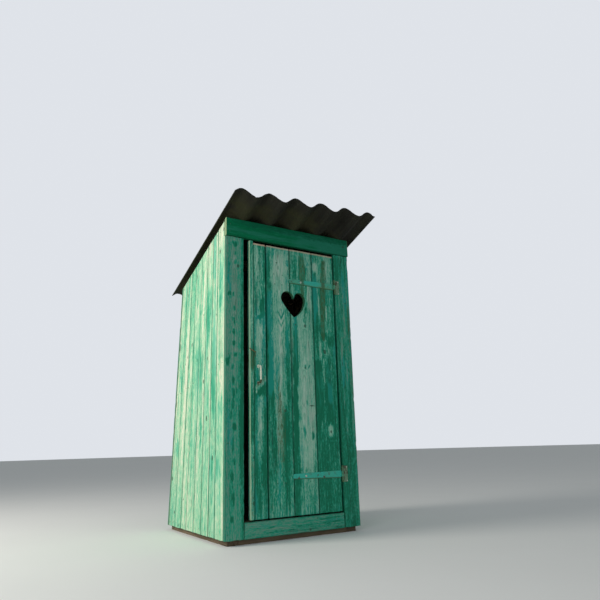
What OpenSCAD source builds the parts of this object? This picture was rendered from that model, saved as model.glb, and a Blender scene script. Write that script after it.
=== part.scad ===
/* [Building] */
// Width across the front boards
body_w = 1010; // [960:10:1060]
// Depth of the building at the ground, front face to rear face
foot_depth = 1040; // [940:10:1140]
// Height of the front wall at its face, ground to the underside of the roof
front_h = 2100; // [1950:10:2250]
// Fall of the roof towards the rear, in degrees
roof_pitch = 19.3; // [14:0.1:23]
// Lean of the rear wall, which kicks out towards its foot, in degrees
rear_lean = 6; // [0:0.5:8]

/* [Timber] */
// Thickness of the wall boards and front boards
board_t = 25; // [19:1:30]
// Side of the square corner posts and rails
post_w = 50; // [40:2:70]
// Depth of the top rails, rafters and purlin
rail_h = 50; // [40:2:70]
// Height of the middle rails above the ground
mid_rail_z = 1020; // [800:20:1200]
// Width of the sills that lie on the ground
sill_w = 75; // [60:5:100]
// Height of the sills that lie on the ground
sill_h = 100; // [75:5:150]
// Thickness of the floor boards
floor_t = 28; // [20:1:40]
// Height of the lower ends of the wall boards above the ground
ground_gap = 30; // [10:5:60]

/* [Front] */
// Width of the board on each side of the doorway
jamb_w = 130; // [110:5:150]
// Height of the board over the doorway
header_h = 129; // [110:1:170]
// How far the header stands in front of the other boards
header_proud = 6; // [0:1:12]
// How far the header passes the wall at each end
header_over = 5; // [0:1:12]

/* [Roof sheet] */
// Distance from one wave's crest to the next
wave_pitch = 204; // [170:1:220]
// Height of the waves, from the underside of a trough to the underside of a crest
wave_h = 56; // [40:1:60]
// Thickness of the sheet
sheet_t = 6; // [5:0.5:8]
// How far the sheet's edges pass the outer crests
edge_turn = 50; // [45:1:75]
// Least side overhang on each side, which settles the number of waves
least_side_over = 20; // [0:5:30]
// How far the sheet lies off centre, to the right
roof_shift = 26; // [0:1:35]
// Overhang in front of the front boards, level and at the middle of the sheet
front_over = 248; // [150:1:300]
// Overhang behind the top of the rear wall, level
rear_over = 138; // [60:5:180]
// How much further forward the crooked front end reaches at the right than at the left
end_skew = 52; // [0:1:80]

/* [Door] */
// Open gap between the door and the jamb on the latch side
latch_gap = 45; // [20:1:55]
// Gap between the door and the jamb on the hinge side
hinge_gap = 14; // [10:1:20]
// Gap between the door boards and the header
top_gap = 21; // [15:1:30]
// Gap between the door and the threshold
bottom_gap = 8; // [6:1:20]
// Thickness of the door boards
door_t = 25; // [19:1:32]
// Width of the narrow strip at the latch edge of the door
strip_w = 27; // [20:1:40]
// Thickness of the narrow strip
strip_t = 34; // [25:1:45]
// Gap between the strip's upper end and the header
strip_clear = 6; // [5:1:15]
// Crack between the strip and the first board
strip_seam = 1.5; // [1:0.5:4]
// Open gap between the first board and the second
wide_seam = 9; // [3:1:12]
// Gap between the other boards
door_seam = 4; // [1:0.5:8]
// Height of the ledges across the back of the door
ledge_h = 100; // [80:5:120]
// Thickness of the ledges and the brace
ledge_t = 28; // [20:1:35]
// Distance from the ends of the ledges to the edges of the door
ledge_inset = 20; // [10:5:40]
// Width of the slanting brace
brace_w = 95; // [70:5:120]

/* [Heart] */
// Distance from the top of the door boards down to the heart's notch
heart_down = 370; // [340:1:420]
// Distance from the middle of the front to the heart's notch, to the right
heart_x = 14; // [0:2:30]
// Radius of the left lobe
heart_left_r = 50; // [35:1:55]
// Radius of the right lobe
heart_right_r = 47; // [35:1:52]
// Depth from the notch down to the point
heart_drop = 133; // [110:1:150]
// Radius of the long left side, from the lobe down to the point
heart_left_side = 550; // [150:10:900]
// Radius of the long right side
heart_right_side = 150; // [120:5:900]

/* [Strap hinges] */
// Distance from the door's top to the middle of the upper strap, and from its foot to the lower
hinge_inset = 242; // [210:1:260]
// Length of a strap from the pin to its round end
strap_len = 392; // [250:1:450]
// Height of a strap at its round end
strap_tip_h = 34; // [25:1:40]
// Height of a strap where it leaves the knuckle
strap_root_h = 48; // [40:1:60]
// Thickness of a strap
strap_metal = 4; // [3:0.5:6]
// Height of the plate on the jamb
plate_h = 106; // [90:2:130]
// Width of the plate on the jamb
plate_w = 36; // [25:1:50]
// Thickness of the plate
plate_metal = 3; // [2:0.5:4]
// Outer radius of the knuckles
knuckle_r = 7; // [6:0.5:9]
// Height of the strap's knuckle, between the plate's two
knuckle_h = 34; // [24:2:40]
// Radius of the pin
pin_r = 3.5; // [2.5:0.5:4]
// Radius of the pin's head
pin_head_r = 5.5; // [4.5:0.5:6]
// Height of the pin's head
pin_head_h = 3; // [2:0.5:5]

/* [Handle and hook] */
// Distance from the door's foot up to the middle of the handle
handle_up = 897; // [800:1:960]
// Distance from the latch edge of the door to the handle
handle_in = 60; // [50:1:80]
// Distance between the middles of the handle's two feet
handle_len = 110; // [80:5:140]
// How far the middle of the grip stands in front of the door
handle_out = 35; // [30:1:50]
// Radius of the handle's bar
handle_r = 6; // [4:0.5:7]
// Radius of the bends at the middle of the bar
handle_bend_r = 14; // [9:1:20]
// Radius of the feet
foot_r = 11; // [9:1:18]
// Thickness of the feet
foot_t = 2.5; // [1.5:0.5:4]
// Distance from the middle of the handle up to the hook's staple
hook_up = 149; // [110:1:180]
// Radius of the hook's bar
hook_r = 3; // [2:0.5:4]
// Radius of the boss that the hook leaves
hook_boss_r = 5.5; // [4.5:0.5:8]
// Distance from the latch edge of the door to the hook's boss
hook_in = 36; // [30:1:45]
// Length of the hook's arm, which reaches past the latch edge
hook_arm = 53; // [35:1:60]
// Length of the hook's tail, which hangs down
hook_tail = 32; // [20:1:45]
// Slope of the hook's arm, in degrees
hook_slope = 27; // [0:1:40]

/* [Hidden] */
$fn = 64;

// Front of the boards, and front of the frame that carries them
front_y = -foot_depth / 2;
frame_y = front_y + board_t;
inner_w = body_w - 2 * board_t;
clear_w = inner_w - 2 * post_w;
floor_z = sill_h + floor_t;
header_z = front_h - header_h;

// The three leaning planes at the rear, each given by where it meets the ground
rear_out = foot_depth / 2;
rear_in = rear_out - board_t / cos(rear_lean);
rear_post = rear_in - post_w / cos(rear_lean);
sill_front = rear_in - sill_w / cos(rear_lean);

// Hair's breadth between the leaning frame and the rear wall's boards
rear_seat = 0.05;
rear_back = rear_in + rear_seat;

// Place of a leaning plane at a height, the underside of the roof, and where the two meet
function lean_y(plane, z) = plane - z * tan(rear_lean);
function roof_z(y) = front_h - (y - front_y) * tan(roof_pitch);
function meet_z(plane, drop = 0) =
    (front_h - drop - (plane - front_y) * tan(roof_pitch))
    / (1 - tan(rear_lean) * tan(roof_pitch));
function on_plane(plane, z) = [lean_y(plane, z), z];
function at_roof(plane, drop = 0) = on_plane(plane, meet_z(plane, drop));

front_rail_y = frame_y + post_w;
front_rail_z = roof_z(front_rail_y) - rail_h;
rear_rail_z = meet_z(rear_in) - rail_h;

// Edges of the door, and the boards that it is made of
door_left = -body_w / 2 + jamb_w + latch_gap;
door_right = body_w / 2 - jamb_w - hinge_gap;
door_foot = floor_z + bottom_gap;
door_top = header_z - top_gap;
seams = [strip_seam, wide_seam, door_seam, door_seam];
wide_board =
    (door_right - door_left - strip_w - strip_seam - wide_seam - 2 * door_seam) / 3.5;
board_widths = [wide_board / 2, wide_board, wide_board, wide_board];
function board_x(i) =
    i == 0
    ? door_left + strip_w + seams[0]
    : board_x(i - 1) + board_widths[i - 1] + seams[i];

// The hinge's pin stands in front of the gap between door and jamb
knuckle_clear = 1;
pin_clear = 0.05;
hinge_x = door_right + hinge_gap / 2;
hinge_y = front_y - knuckle_r - knuckle_clear;
upper_hinge_z = door_top - hinge_inset;
lower_hinge_z = door_foot + hinge_inset;
plate_knuckle_h = (plate_h - knuckle_h) / 2 - knuckle_clear;
plate_x = body_w / 2 - jamb_w + 2;
heart_z = door_top - heart_down;
handle_x = door_left + handle_in;
handle_z = door_foot + handle_up;
hook_x = door_left + hook_in;
hook_clear = 0.2;
hook_z = handle_z + hook_up;

// The roof sheet's waves, counted from the width that they have to cover
cover_w = body_w + 2 * least_side_over + roof_shift;
waves = ceil((cover_w - 2 * edge_turn) / wave_pitch) + 1;
sheet_w = (waves - 1) * wave_pitch + 2 * edge_turn;
wave_steps = 16;
front_run = front_over / cos(roof_pitch);
skew_run = end_skew / cos(roof_pitch);
rear_run = (lean_y(rear_out, meet_z(rear_out)) + rear_over - front_y) / cos(roof_pitch);

function wave_angle(x) = 360 * (x - (waves - 1) / 2 * wave_pitch) / wave_pitch;
function wave_z(x) = wave_h / 2 * (1 + cos(wave_angle(x)));
function wave_slope(x) = -PI * wave_h / wave_pitch * sin(wave_angle(x));
function wave_normal(x) = [-wave_slope(x), 1] / sqrt(1 + pow(wave_slope(x), 2));
function sheet_x(i) = -sheet_w / 2 + i * sheet_w / sheet_steps;
sheet_steps = round(sheet_w / wave_pitch * wave_steps);
sheet_profile = concat(
    [for (i = [0:sheet_steps]) [sheet_x(i), wave_z(sheet_x(i))]],
    [for (i = [sheet_steps:-1:0])
        [sheet_x(i), wave_z(sheet_x(i))] + sheet_t * wave_normal(sheet_x(i))]
);

// Half of the heart: a lobe from the notch over the top, then a wide arc down to the point
lobe_steps = 28;
side_steps = 8;
function leave_angle(r, wide) =
    let (reach = norm([r, heart_drop]))
    acos((wide * wide - pow(wide - r, 2) - reach * reach) / (2 * (wide - r) * reach))
    - 180 + atan2(heart_drop, r);
function half_heart(r, wide, side) =
    let (leave = leave_angle(r, wide))
    let (centre = [r, 0] - (wide - r) * [cos(leave), sin(leave)])
    let (stop = atan2(-heart_drop - centre[1], -centre[0]))
    concat(
        [for (i = [0:lobe_steps])
            let (a = 180 + (leave - 180) * i / lobe_steps)
            [side * r * (1 + cos(a)), r * sin(a)]],
        [for (i = [1:side_steps])
            let (a = leave + (stop - leave) * i / side_steps)
            [side * (centre[0] + wide * cos(a)), centre[1] + wide * sin(a)]]
    );
right_half = half_heart(heart_right_r, heart_right_side, 1);
left_half = half_heart(heart_left_r, heart_left_side, -1);
heart_outline = concat(right_half, [for (i = [len(left_half) - 2:-1:1]) left_half[i]]);

// A piece with the same outline all along its width, drawn from the side
module along_x(x, width, outline) {
    translate([x, 0, 0])
        rotate([90, 0, 90])
            linear_extrude(width)
                polygon(outline);
}

// A piece with the same outline through its thickness, drawn from the front
module on_front(y, thickness) {
    translate([0, y + thickness, 0])
        rotate([90, 0, 0])
            linear_extrude(thickness)
                children();
}

module block(low, high) {
    translate(low)
        cube(high - low);
}

// Ground frame and floor

module side_sill(x) {
    color("tan")
        along_x(x, sill_w, [
            [frame_y, 0], on_plane(rear_in, 0), on_plane(rear_in, sill_h), [frame_y, sill_h]
        ]);
}

module front_sill() {
    half = inner_w / 2 - sill_w;
    color("tan")
        block([-half, frame_y, 0], [half, frame_y + sill_w, sill_h]);
}

module rear_sill() {
    half = inner_w / 2 - sill_w;
    color("tan")
        along_x(-half, 2 * half, [
            on_plane(sill_front, 0), on_plane(rear_in, 0),
            on_plane(rear_in, sill_h), on_plane(sill_front, sill_h)
        ]);
}

module middle_joist() {
    color("tan")
        along_x(-sill_w / 2, sill_w, [
            [frame_y + sill_w, 0], on_plane(sill_front, 0),
            on_plane(sill_front, sill_h), [frame_y + sill_w, sill_h]
        ]);
}

module floor_deck() {
    color("burlywood")
        along_x(-inner_w / 2, inner_w, [
            [frame_y, sill_h], on_plane(rear_in, sill_h),
            on_plane(rear_in, floor_z), [frame_y, floor_z]
        ]);
}

// Posts, rails and roof timbers

module front_post(x) {
    color("tan")
        block([x, frame_y, floor_z], [x + post_w, front_rail_y, front_rail_z]);
}

module rear_corner_post(x) {
    color("tan")
        along_x(x, post_w, [
            on_plane(rear_post, floor_z), on_plane(rear_in, floor_z),
            on_plane(rear_in, rear_rail_z), on_plane(rear_post, rear_rail_z)
        ]);
}

module front_top_rail() {
    color("tan")
        along_x(-inner_w / 2, inner_w, [
            [frame_y, front_rail_z], [front_rail_y, front_rail_z],
            [front_rail_y, roof_z(front_rail_y)], [frame_y, roof_z(frame_y)]
        ]);
}

module rear_top_rail() {
    color("tan")
        along_x(-inner_w / 2, inner_w, [
            on_plane(rear_post, rear_rail_z), on_plane(rear_in, rear_rail_z),
            at_roof(rear_in), at_roof(rear_post)
        ]);
}

module rafter(x) {
    color("tan")
        along_x(x, post_w, [
            [front_rail_y, front_rail_z], at_roof(rear_post, rail_h),
            at_roof(rear_post), [front_rail_y, roof_z(front_rail_y)]
        ]);
}

module middle_purlin() {
    middle = (front_rail_y + lean_y(rear_post, rear_rail_z)) / 2;
    low = middle - post_w / 2;
    high = middle + post_w / 2;
    color("tan")
        along_x(-clear_w / 2, clear_w, [
            [low, roof_z(low) - rail_h], [high, roof_z(high) - rail_h],
            [high, roof_z(high)], [low, roof_z(low)]
        ]);
}

module side_mid_rail(x) {
    top = mid_rail_z + rail_h;
    color("tan")
        along_x(x, post_w, [
            [front_rail_y, mid_rail_z], on_plane(rear_post, mid_rail_z),
            on_plane(rear_post, top), [front_rail_y, top]
        ]);
}

module rear_mid_rail() {
    top = mid_rail_z + rail_h;
    color("tan")
        along_x(-clear_w / 2, clear_w, [
            on_plane(rear_post, mid_rail_z), on_plane(rear_in, mid_rail_z),
            on_plane(rear_in, top), on_plane(rear_post, top)
        ]);
}

// Boards on the outside

module side_wall(x) {
    color("mediumseagreen")
        along_x(x, board_t, [
            [frame_y, ground_gap], on_plane(rear_in, ground_gap),
            at_roof(rear_in), [frame_y, roof_z(frame_y)]
        ]);
}

module rear_wall() {
    color("mediumseagreen")
        along_x(-body_w / 2, body_w, [
            on_plane(rear_back, ground_gap), on_plane(rear_out, ground_gap),
            at_roof(rear_out), at_roof(rear_back)
        ]);
}

module front_board(x) {
    color("seagreen")
        block([x, front_y, ground_gap], [x + jamb_w, frame_y, header_z]);
}

module header_board() {
    face = front_y - header_proud;
    length = body_w + 2 * header_over;
    color("darkgreen")
        along_x(-length / 2, length, [
            [face, header_z], [frame_y, header_z],
            [frame_y, roof_z(frame_y)], [face, roof_z(face)]
        ]);
}

module threshold_board() {
    half = body_w / 2 - jamb_w;
    color("seagreen")
        block([-half, front_y, ground_gap], [half, frame_y, floor_z]);
}

// Corrugated sheet: its profile runs down the slope, and its front end is cut crooked

module roof_sheet() {
    half = sheet_w / 2 + sheet_t;
    depth = wave_h + 2 * sheet_t;
    color("dimgray")
        translate([roof_shift, front_y, front_h])
            rotate([-roof_pitch, 0, 0])
                intersection() {
                    translate([0, rear_run, 0])
                        rotate([90, 0, 0])
                            linear_extrude(rear_run + front_run + skew_run)
                                polygon(sheet_profile);
                    translate([0, 0, -sheet_t])
                        linear_extrude(depth + sheet_t)
                            polygon([
                                [-half, -front_run + skew_run * half / sheet_w],
                                [half, -front_run - skew_run * half / sheet_w],
                                [half, rear_run],
                                [-half, rear_run]
                            ]);
                }
}

// Door boards with the heart

module heart() {
    on_front(front_y - door_t, 3 * door_t)
        translate([heart_x, heart_z])
            polygon(heart_outline);
}

module door_edge_strip() {
    color("cadetblue")
        block(
            [door_left, front_y, door_foot],
            [door_left + strip_w, front_y + strip_t, header_z - strip_clear]);
}

module door_board(i) {
    color("mediumaquamarine")
        difference() {
            block(
                [board_x(i), front_y, door_foot],
                [board_x(i) + board_widths[i], front_y + door_t, door_top]);
            heart();
        }
}

// Ledges and brace on the back of the door

module ledge(z) {
    color("burlywood")
        block(
            [door_left + strip_w + ledge_inset, front_y + door_t, z - ledge_h / 2],
            [door_right - ledge_inset, front_y + door_t + ledge_t, z + ledge_h / 2]);
}

module door_brace() {
    foot = lower_hinge_z + ledge_h / 2;
    head = upper_hinge_z - ledge_h / 2;
    foot_x = door_right - ledge_inset - brace_w;
    head_x = door_left + strip_w + ledge_inset;
    color("burlywood")
        on_front(front_y + door_t, ledge_t)
            polygon([
                [foot_x, foot], [foot_x + brace_w, foot],
                [head_x + brace_w, head], [head_x, head]
            ]);
}

// Strap hinges: the strap's knuckle turns on a pin that the jamb's plate holds

module strap_outline(z) {
    tip_x = hinge_x - strap_len + strap_tip_h / 2;
    root_x = hinge_x - knuckle_r - 3 * knuckle_clear;
    polygon([
        [tip_x, z - strap_tip_h / 2], [root_x, z - strap_root_h / 2],
        [root_x, z - knuckle_h / 2], [hinge_x, z - knuckle_h / 2],
        [hinge_x, z + knuckle_h / 2], [root_x, z + knuckle_h / 2],
        [root_x, z + strap_root_h / 2], [tip_x, z + strap_tip_h / 2]
    ]);
    translate([tip_x, z])
        circle(r = strap_tip_h / 2);
}

module strap(z) {
    color("turquoise")
        difference() {
            union() {
                on_front(front_y - strap_metal, strap_metal)
                    strap_outline(z);
                translate([hinge_x, hinge_y, z - knuckle_h / 2])
                    cylinder(r = knuckle_r, h = knuckle_h);
            }
            translate([hinge_x, hinge_y, z - plate_h / 2])
                cylinder(r = pin_r + pin_clear, h = plate_h);
        }
}

module plate_knuckle(z) {
    translate([hinge_x, hinge_y, z])
        cylinder(r = knuckle_r, h = plate_knuckle_h);
    block(
        [hinge_x, front_y - plate_metal, z],
        [plate_x, front_y, z + plate_knuckle_h]);
}

module hinge_plate(z) {
    low = z - plate_h / 2;
    color("sienna") {
        block([plate_x, front_y - plate_metal, low], [plate_x + plate_w, front_y, low + plate_h]);
        plate_knuckle(low);
        plate_knuckle(low + plate_h - plate_knuckle_h);
        translate([hinge_x, hinge_y, low])
            cylinder(r = pin_r, h = plate_h);
        translate([hinge_x, hinge_y, low + plate_h])
            cylinder(r = pin_head_r, h = pin_head_h);
    }
}

// Bow handle: a round bar with two bends on two round feet

module handle_half() {
    straight = handle_len / 2 - handle_bend_r;
    cylinder(r = handle_r, h = straight);
    translate([0, handle_bend_r, straight])
        rotate([90, 0, -90])
            rotate_extrude(angle = 90)
                translate([handle_bend_r, 0])
                    circle(r = handle_r);
    translate([0, handle_bend_r, handle_len / 2])
        rotate([-90, 0, 0])
            cylinder(r = handle_r, h = handle_out - handle_bend_r);
    translate([0, handle_out - foot_t, handle_len / 2])
        rotate([-90, 0, 0])
            cylinder(r = foot_r, h = foot_t);
}

module door_handle() {
    color("silver")
        translate([handle_x, front_y - handle_out, handle_z]) {
            handle_half();
            mirror([0, 0, 1])
                handle_half();
        }
}

// Bent hook: a sloping arm and a tail that leave a round boss

module hook_bar(turn, length) {
    translate([0, -hook_r - hook_clear, 0])
        rotate([0, turn, 0])
            cylinder(r = hook_r, h = length);
}

module door_hook() {
    color("saddlebrown")
        translate([hook_x, front_y, hook_z]) {
            rotate([90, 0, 0])
                cylinder(r = hook_boss_r, h = 2 * hook_r + 1);
            hook_bar(hook_slope - 90, hook_arm);
            hook_bar(180, hook_tail);
        }
}

side_sill(-inner_w / 2);  // left_sill
side_sill(inner_w / 2 - sill_w);  // right_sill
front_sill();
rear_sill();
middle_joist();
floor_deck();  // floor
front_post(-inner_w / 2);  // front_left_post
front_post(inner_w / 2 - post_w);  // front_right_post
rear_corner_post(-inner_w / 2);  // rear_left_post
rear_corner_post(inner_w / 2 - post_w);  // rear_right_post
front_top_rail();
rear_top_rail();
rafter(-inner_w / 2);  // left_rafter
rafter(inner_w / 2 - post_w);  // right_rafter
middle_purlin();
side_mid_rail(-inner_w / 2);  // left_mid_rail
side_mid_rail(inner_w / 2 - post_w);  // right_mid_rail
rear_mid_rail();
side_wall(-body_w / 2);  // left_wall
side_wall(body_w / 2 - board_t);  // right_wall
rear_wall();
front_board(-body_w / 2);  // left_front_board
front_board(body_w / 2 - jamb_w);  // right_front_board
header_board();
threshold_board();
roof_sheet();
hinge_plate(upper_hinge_z);  // upper_hinge_plate
hinge_plate(lower_hinge_z);  // lower_hinge_plate
door_edge_strip();
door_board(0);  // door_board_1
door_board(1);  // door_board_2
door_board(2);  // door_board_3
door_board(3);  // door_board_4
ledge(upper_hinge_z);  // upper_ledge
ledge(lower_hinge_z);  // lower_ledge
door_brace();
strap(upper_hinge_z);  // upper_strap
strap(lower_hinge_z);  // lower_strap
door_handle();
door_hook();
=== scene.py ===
"""Boards, roof sheet, ironwork and stage of a wooden outhouse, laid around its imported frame."""

import math
from functools import cache
from itertools import product
from types import SimpleNamespace

import bmesh
import bpy
import numpy as np
from bpy.props import FloatProperty, FloatVectorProperty, PointerProperty
from mathutils import Matrix, Vector


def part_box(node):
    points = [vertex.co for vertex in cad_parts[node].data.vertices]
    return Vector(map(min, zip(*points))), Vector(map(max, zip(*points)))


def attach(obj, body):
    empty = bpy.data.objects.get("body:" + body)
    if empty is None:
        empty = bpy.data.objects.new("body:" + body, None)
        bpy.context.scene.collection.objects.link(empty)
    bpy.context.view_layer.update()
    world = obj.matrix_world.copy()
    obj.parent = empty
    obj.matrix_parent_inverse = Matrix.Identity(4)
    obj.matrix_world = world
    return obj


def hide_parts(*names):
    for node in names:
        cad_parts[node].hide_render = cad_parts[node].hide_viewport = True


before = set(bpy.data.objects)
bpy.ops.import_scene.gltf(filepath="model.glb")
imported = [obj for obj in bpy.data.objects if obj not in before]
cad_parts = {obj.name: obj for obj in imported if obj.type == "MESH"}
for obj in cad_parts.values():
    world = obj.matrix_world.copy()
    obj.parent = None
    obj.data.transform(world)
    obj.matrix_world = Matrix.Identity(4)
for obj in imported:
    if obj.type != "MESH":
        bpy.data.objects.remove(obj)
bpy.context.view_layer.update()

bl_info = {
    "name": "Wooden outhouse",
    "version": (1, 0, 0),
    "blender": (4, 5, 0),
    "location": "View3D > Sidebar > Outhouse",
    "description": "Builds the boards, roof sheet, ironwork and stage of a wooden outhouse",
    "category": "Object",
}

X_AXIS = (1.0, 0.0, 0.0)
Y_AXIS = (0.0, 1.0, 0.0)
Z_AXIS = (0.0, 0.0, 1.0)
FORWARD = (0.0, -1.0, 0.0)

# Sizes and colours that a user would change


def length_setting(name, description, default, low, high):
    facts = dict(default=default, min=low, max=high, subtype="DISTANCE")
    return FloatProperty(name=name, description=description, **facts)


def colour_setting(name, description, *default):
    facts = dict(default=default, size=3, min=0.0, max=1.0, subtype="COLOR")
    return FloatVectorProperty(name=name, description=description, **facts)


def power_setting(name, description, default):
    facts = dict(default=default, min=0.0, unit="POWER")
    return FloatProperty(name=name, description=description, **facts)


class OuthouseSizes(bpy.types.PropertyGroup):
    edge_round: length_setting("Board edge", "Radius of the boards' worn edges", 0.0028, 0.001, 0.006)
    wall_seam: length_setting("Wall seam", "Widest gap between two boards of a wall", 0.003, 0.001, 0.008)
    nail_head: length_setting("Nail head", "Radius of the nail heads in the boards", 0.0038, 0.002, 0.006)
    roof_pitch: FloatProperty(
        name="Roof pitch",
        description="Fall of the roof towards the rear",
        default=math.radians(19.3),
        subtype="ANGLE",
    )
    wave_pitch: length_setting("Wave pitch", "Distance from one crest to the next", 0.204, 0.1, 0.3)
    sheet_thickness: length_setting("Sheet thickness", "Thickness of the roof sheet", 0.006, 0.004, 0.01)


class OuthouseColours(bpy.types.PropertyGroup):
    deep_paint: colour_setting("Deep paint", "Green paint in the sheltered places", 0.001, 0.175, 0.09)
    paint: colour_setting("Paint", "Green paint where it is still whole", 0.018, 0.35, 0.22)
    sea_paint: colour_setting("Bluish paint", "Paint where it has turned bluish", 0.01, 0.345, 0.27)
    washed: colour_setting("Washed paint", "Thin remains of paint in the grain", 0.28, 0.6, 0.44)
    bare: colour_setting("Bare wood", "Weathered wood without paint", 0.45, 0.66, 0.53)
    raw_wood: colour_setting("Raw wood", "Wood that was cut after the painting", 0.82, 0.5, 0.36)
    moss_colour: colour_setting("Moss", "Dark moss in the grain", 0.045, 0.13, 0.05)
    sheet: colour_setting("Roof sheet", "Dark weathered surface of the roof sheet", 0.05, 0.055, 0.05)
    rust: colour_setting("Rust", "Rust of the iron", 0.14, 0.14, 0.1)


class OuthouseStage(bpy.types.PropertyGroup):
    key_power: power_setting("Key light", "Power of the large soft light on the left", 225.0)
    fill_power: power_setting("Fill light", "Power of the soft light at the front", 60.0)
    floor_tone: FloatProperty(
        name="Floor",
        description="Lightness of the plain floor",
        default=0.8,
        min=0.1,
        max=0.9,
        subtype="FACTOR",
    )


def sizes():
    return bpy.context.scene.outhouse_sizes


def chosen_colour(name):
    return tuple(getattr(bpy.context.scene.outhouse_colours, name))


# Seeded random values


def ease(part):
    return part * part * (3 - 2 * part)


def step_up(x, low, high):
    return ease(np.clip((x - low) / (high - low), 0, 1))


def drift(t, seed, step):
    """Smooth values from 0 to 1 along t, with a new one every step."""
    count = 1024
    table = np.random.default_rng(seed).random(count)
    x = np.asarray(t, float) / step + 200.0
    low = np.floor(x).astype(int)
    part = ease(x - low)
    return table[low % count] * (1 - part) + table[(low + 1) % count] * part


def patchwork(s, t, seed, step_s, step_t):
    """Smooth values from 0 to 1 over a surface."""
    count = 64
    table = np.random.default_rng(seed).random((count, count))
    x = np.asarray(s, float) / step_s + 30.0
    y = np.asarray(t, float) / step_t + 30.0
    i, j = np.floor(x).astype(int), np.floor(y).astype(int)
    fx, fy = ease(x - i), ease(y - j)
    i, beside = i % count, (i + 1) % count
    near, far = (table[i, k % count] * (1 - fx) + table[beside, k % count] * fx for k in (j, j + 1))
    return near * (1 - fy) + far * fy


# Meshes, and how they are gathered into pieces


def new_mesh(name, points, faces):
    mesh = bpy.data.meshes.new(name)
    mesh.from_pydata(np.asarray(points).tolist(), [], faces)
    return mesh


def in_scene(name, data):
    thing = bpy.data.objects.new(name, data)
    bpy.context.scene.collection.objects.link(thing)
    return thing


def points_of(mesh):
    co = np.zeros(len(mesh.vertices) * 3, np.float32)
    mesh.vertices.foreach_get("co", co)
    return co.reshape(-1, 3).astype(float)


def ring_faces(rings, n, start=0):
    """Faces between rings of n points each that follow one another."""
    faces = []
    for a in range(start, start + (rings - 1) * n, n):
        for k in range(n):
            m = (k + 1) % n
            faces.append([a + k, a + m, a + n + m, a + n + k])
    return faces


def closed_rings(rings, n):
    """The faces of a solid of revolution or a bar, with both ends closed."""
    last = (rings - 1) * n
    return ring_faces(rings, n) + [list(reversed(range(n))), list(range(last, last + n))]


class Pile:
    """Meshes gathered into one piece, with the values that its finish reads at each point."""

    LAYERS = ("lay", "board", "wear", "knot", "tone")

    def __init__(self):
        self.points, self.faces, self.finishes = [], [], []
        self.values = {name: [] for name in self.LAYERS}
        self.count = 0

    def add(self, points, faces, finish=0, **values):
        self.points.append(np.asarray(points, float))
        self.faces += [[k + self.count for k in face] for face in faces]
        self.finishes += [finish] * len(faces)
        for name in self.LAYERS:
            layer = np.zeros((len(points), 3))
            layer[:] = values.get(name, 0.0)
            self.values[name].append(layer)
        self.count += len(points)

    def piece(self, name, body, slot, materials, nodes=(), sharp=38):
        mesh = new_mesh(name, np.concatenate(self.points), self.faces)
        for layer in self.LAYERS:
            data = np.concatenate(self.values[layer]).astype(np.float32)
            if data.any():
                attribute = mesh.attributes.new(layer, "FLOAT_VECTOR", "POINT")
                attribute.data.foreach_set("vector", data.ravel())
        for material in materials:
            mesh.materials.append(material)
        mesh.polygons.foreach_set("material_index", self.finishes)
        mesh.polygons.foreach_set("use_smooth", [True] * len(mesh.polygons))
        mesh.set_sharp_from_angle(angle=math.radians(sharp))
        mesh.update()
        piece = in_scene(name, mesh)
        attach(piece, body)
        if nodes:
            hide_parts(*nodes)


# Slabs of the frame, and the boards laid in them


def packed_points(node):
    return points_of(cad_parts[node].data)


def halves(points, axis):
    order = np.argsort(points @ np.array(axis))
    half = len(points) // 2
    return points[order[:half]], points[order[half:]]


class Slab:
    """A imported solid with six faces, as a place to lay boards in."""

    def __init__(self, node, along, across, inward):
        points = np.unique(np.round(packed_points(node), 5), axis=0)
        if len(points) != 8:
            points = np.array(list(product(*zip(points.min(0), points.max(0)))))
        self.corners = np.zeros((2, 2, 2, 3))
        for i, end in enumerate(halves(points, along)):
            for j, side in enumerate(halves(end, across)):
                for k, corner in enumerate(halves(side, inward)):
                    self.corners[i, j, k] = corner[0]
        c = self.corners
        self.length = np.linalg.norm(c[1] - c[0], axis=-1).mean()
        self.width = np.linalg.norm(c[:, 1] - c[:, 0], axis=-1).mean()
        self.depth = np.linalg.norm(c[:, :, 1] - c[:, :, 0], axis=-1).mean()
        self.turned = np.linalg.det(np.array([across, inward, along])) < 0

    def at(self, a, c, b):
        """Points at fractions across, inward and along."""
        total = 0.0
        for i, j, k in product((0, 1), repeat=3):
            share = (b if i else 1 - b) * (a if j else 1 - a) * (c if k else 1 - c)
            total = total + share[:, None] * self.corners[i, j, k]
        return total


def spread(half, step):
    """Places from -half to half, closer together near the ends."""
    near = [x for x in (0.0, 0.0015, 0.005) if x < half * 0.6]
    inner = half - near[-1]
    middle = np.linspace(-inner, inner, max(1, round(2 * inner / step)) + 1)
    ends = np.array([half - x for x in near[:-1]])
    return np.concatenate([-ends, middle, ends[::-1]])


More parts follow.
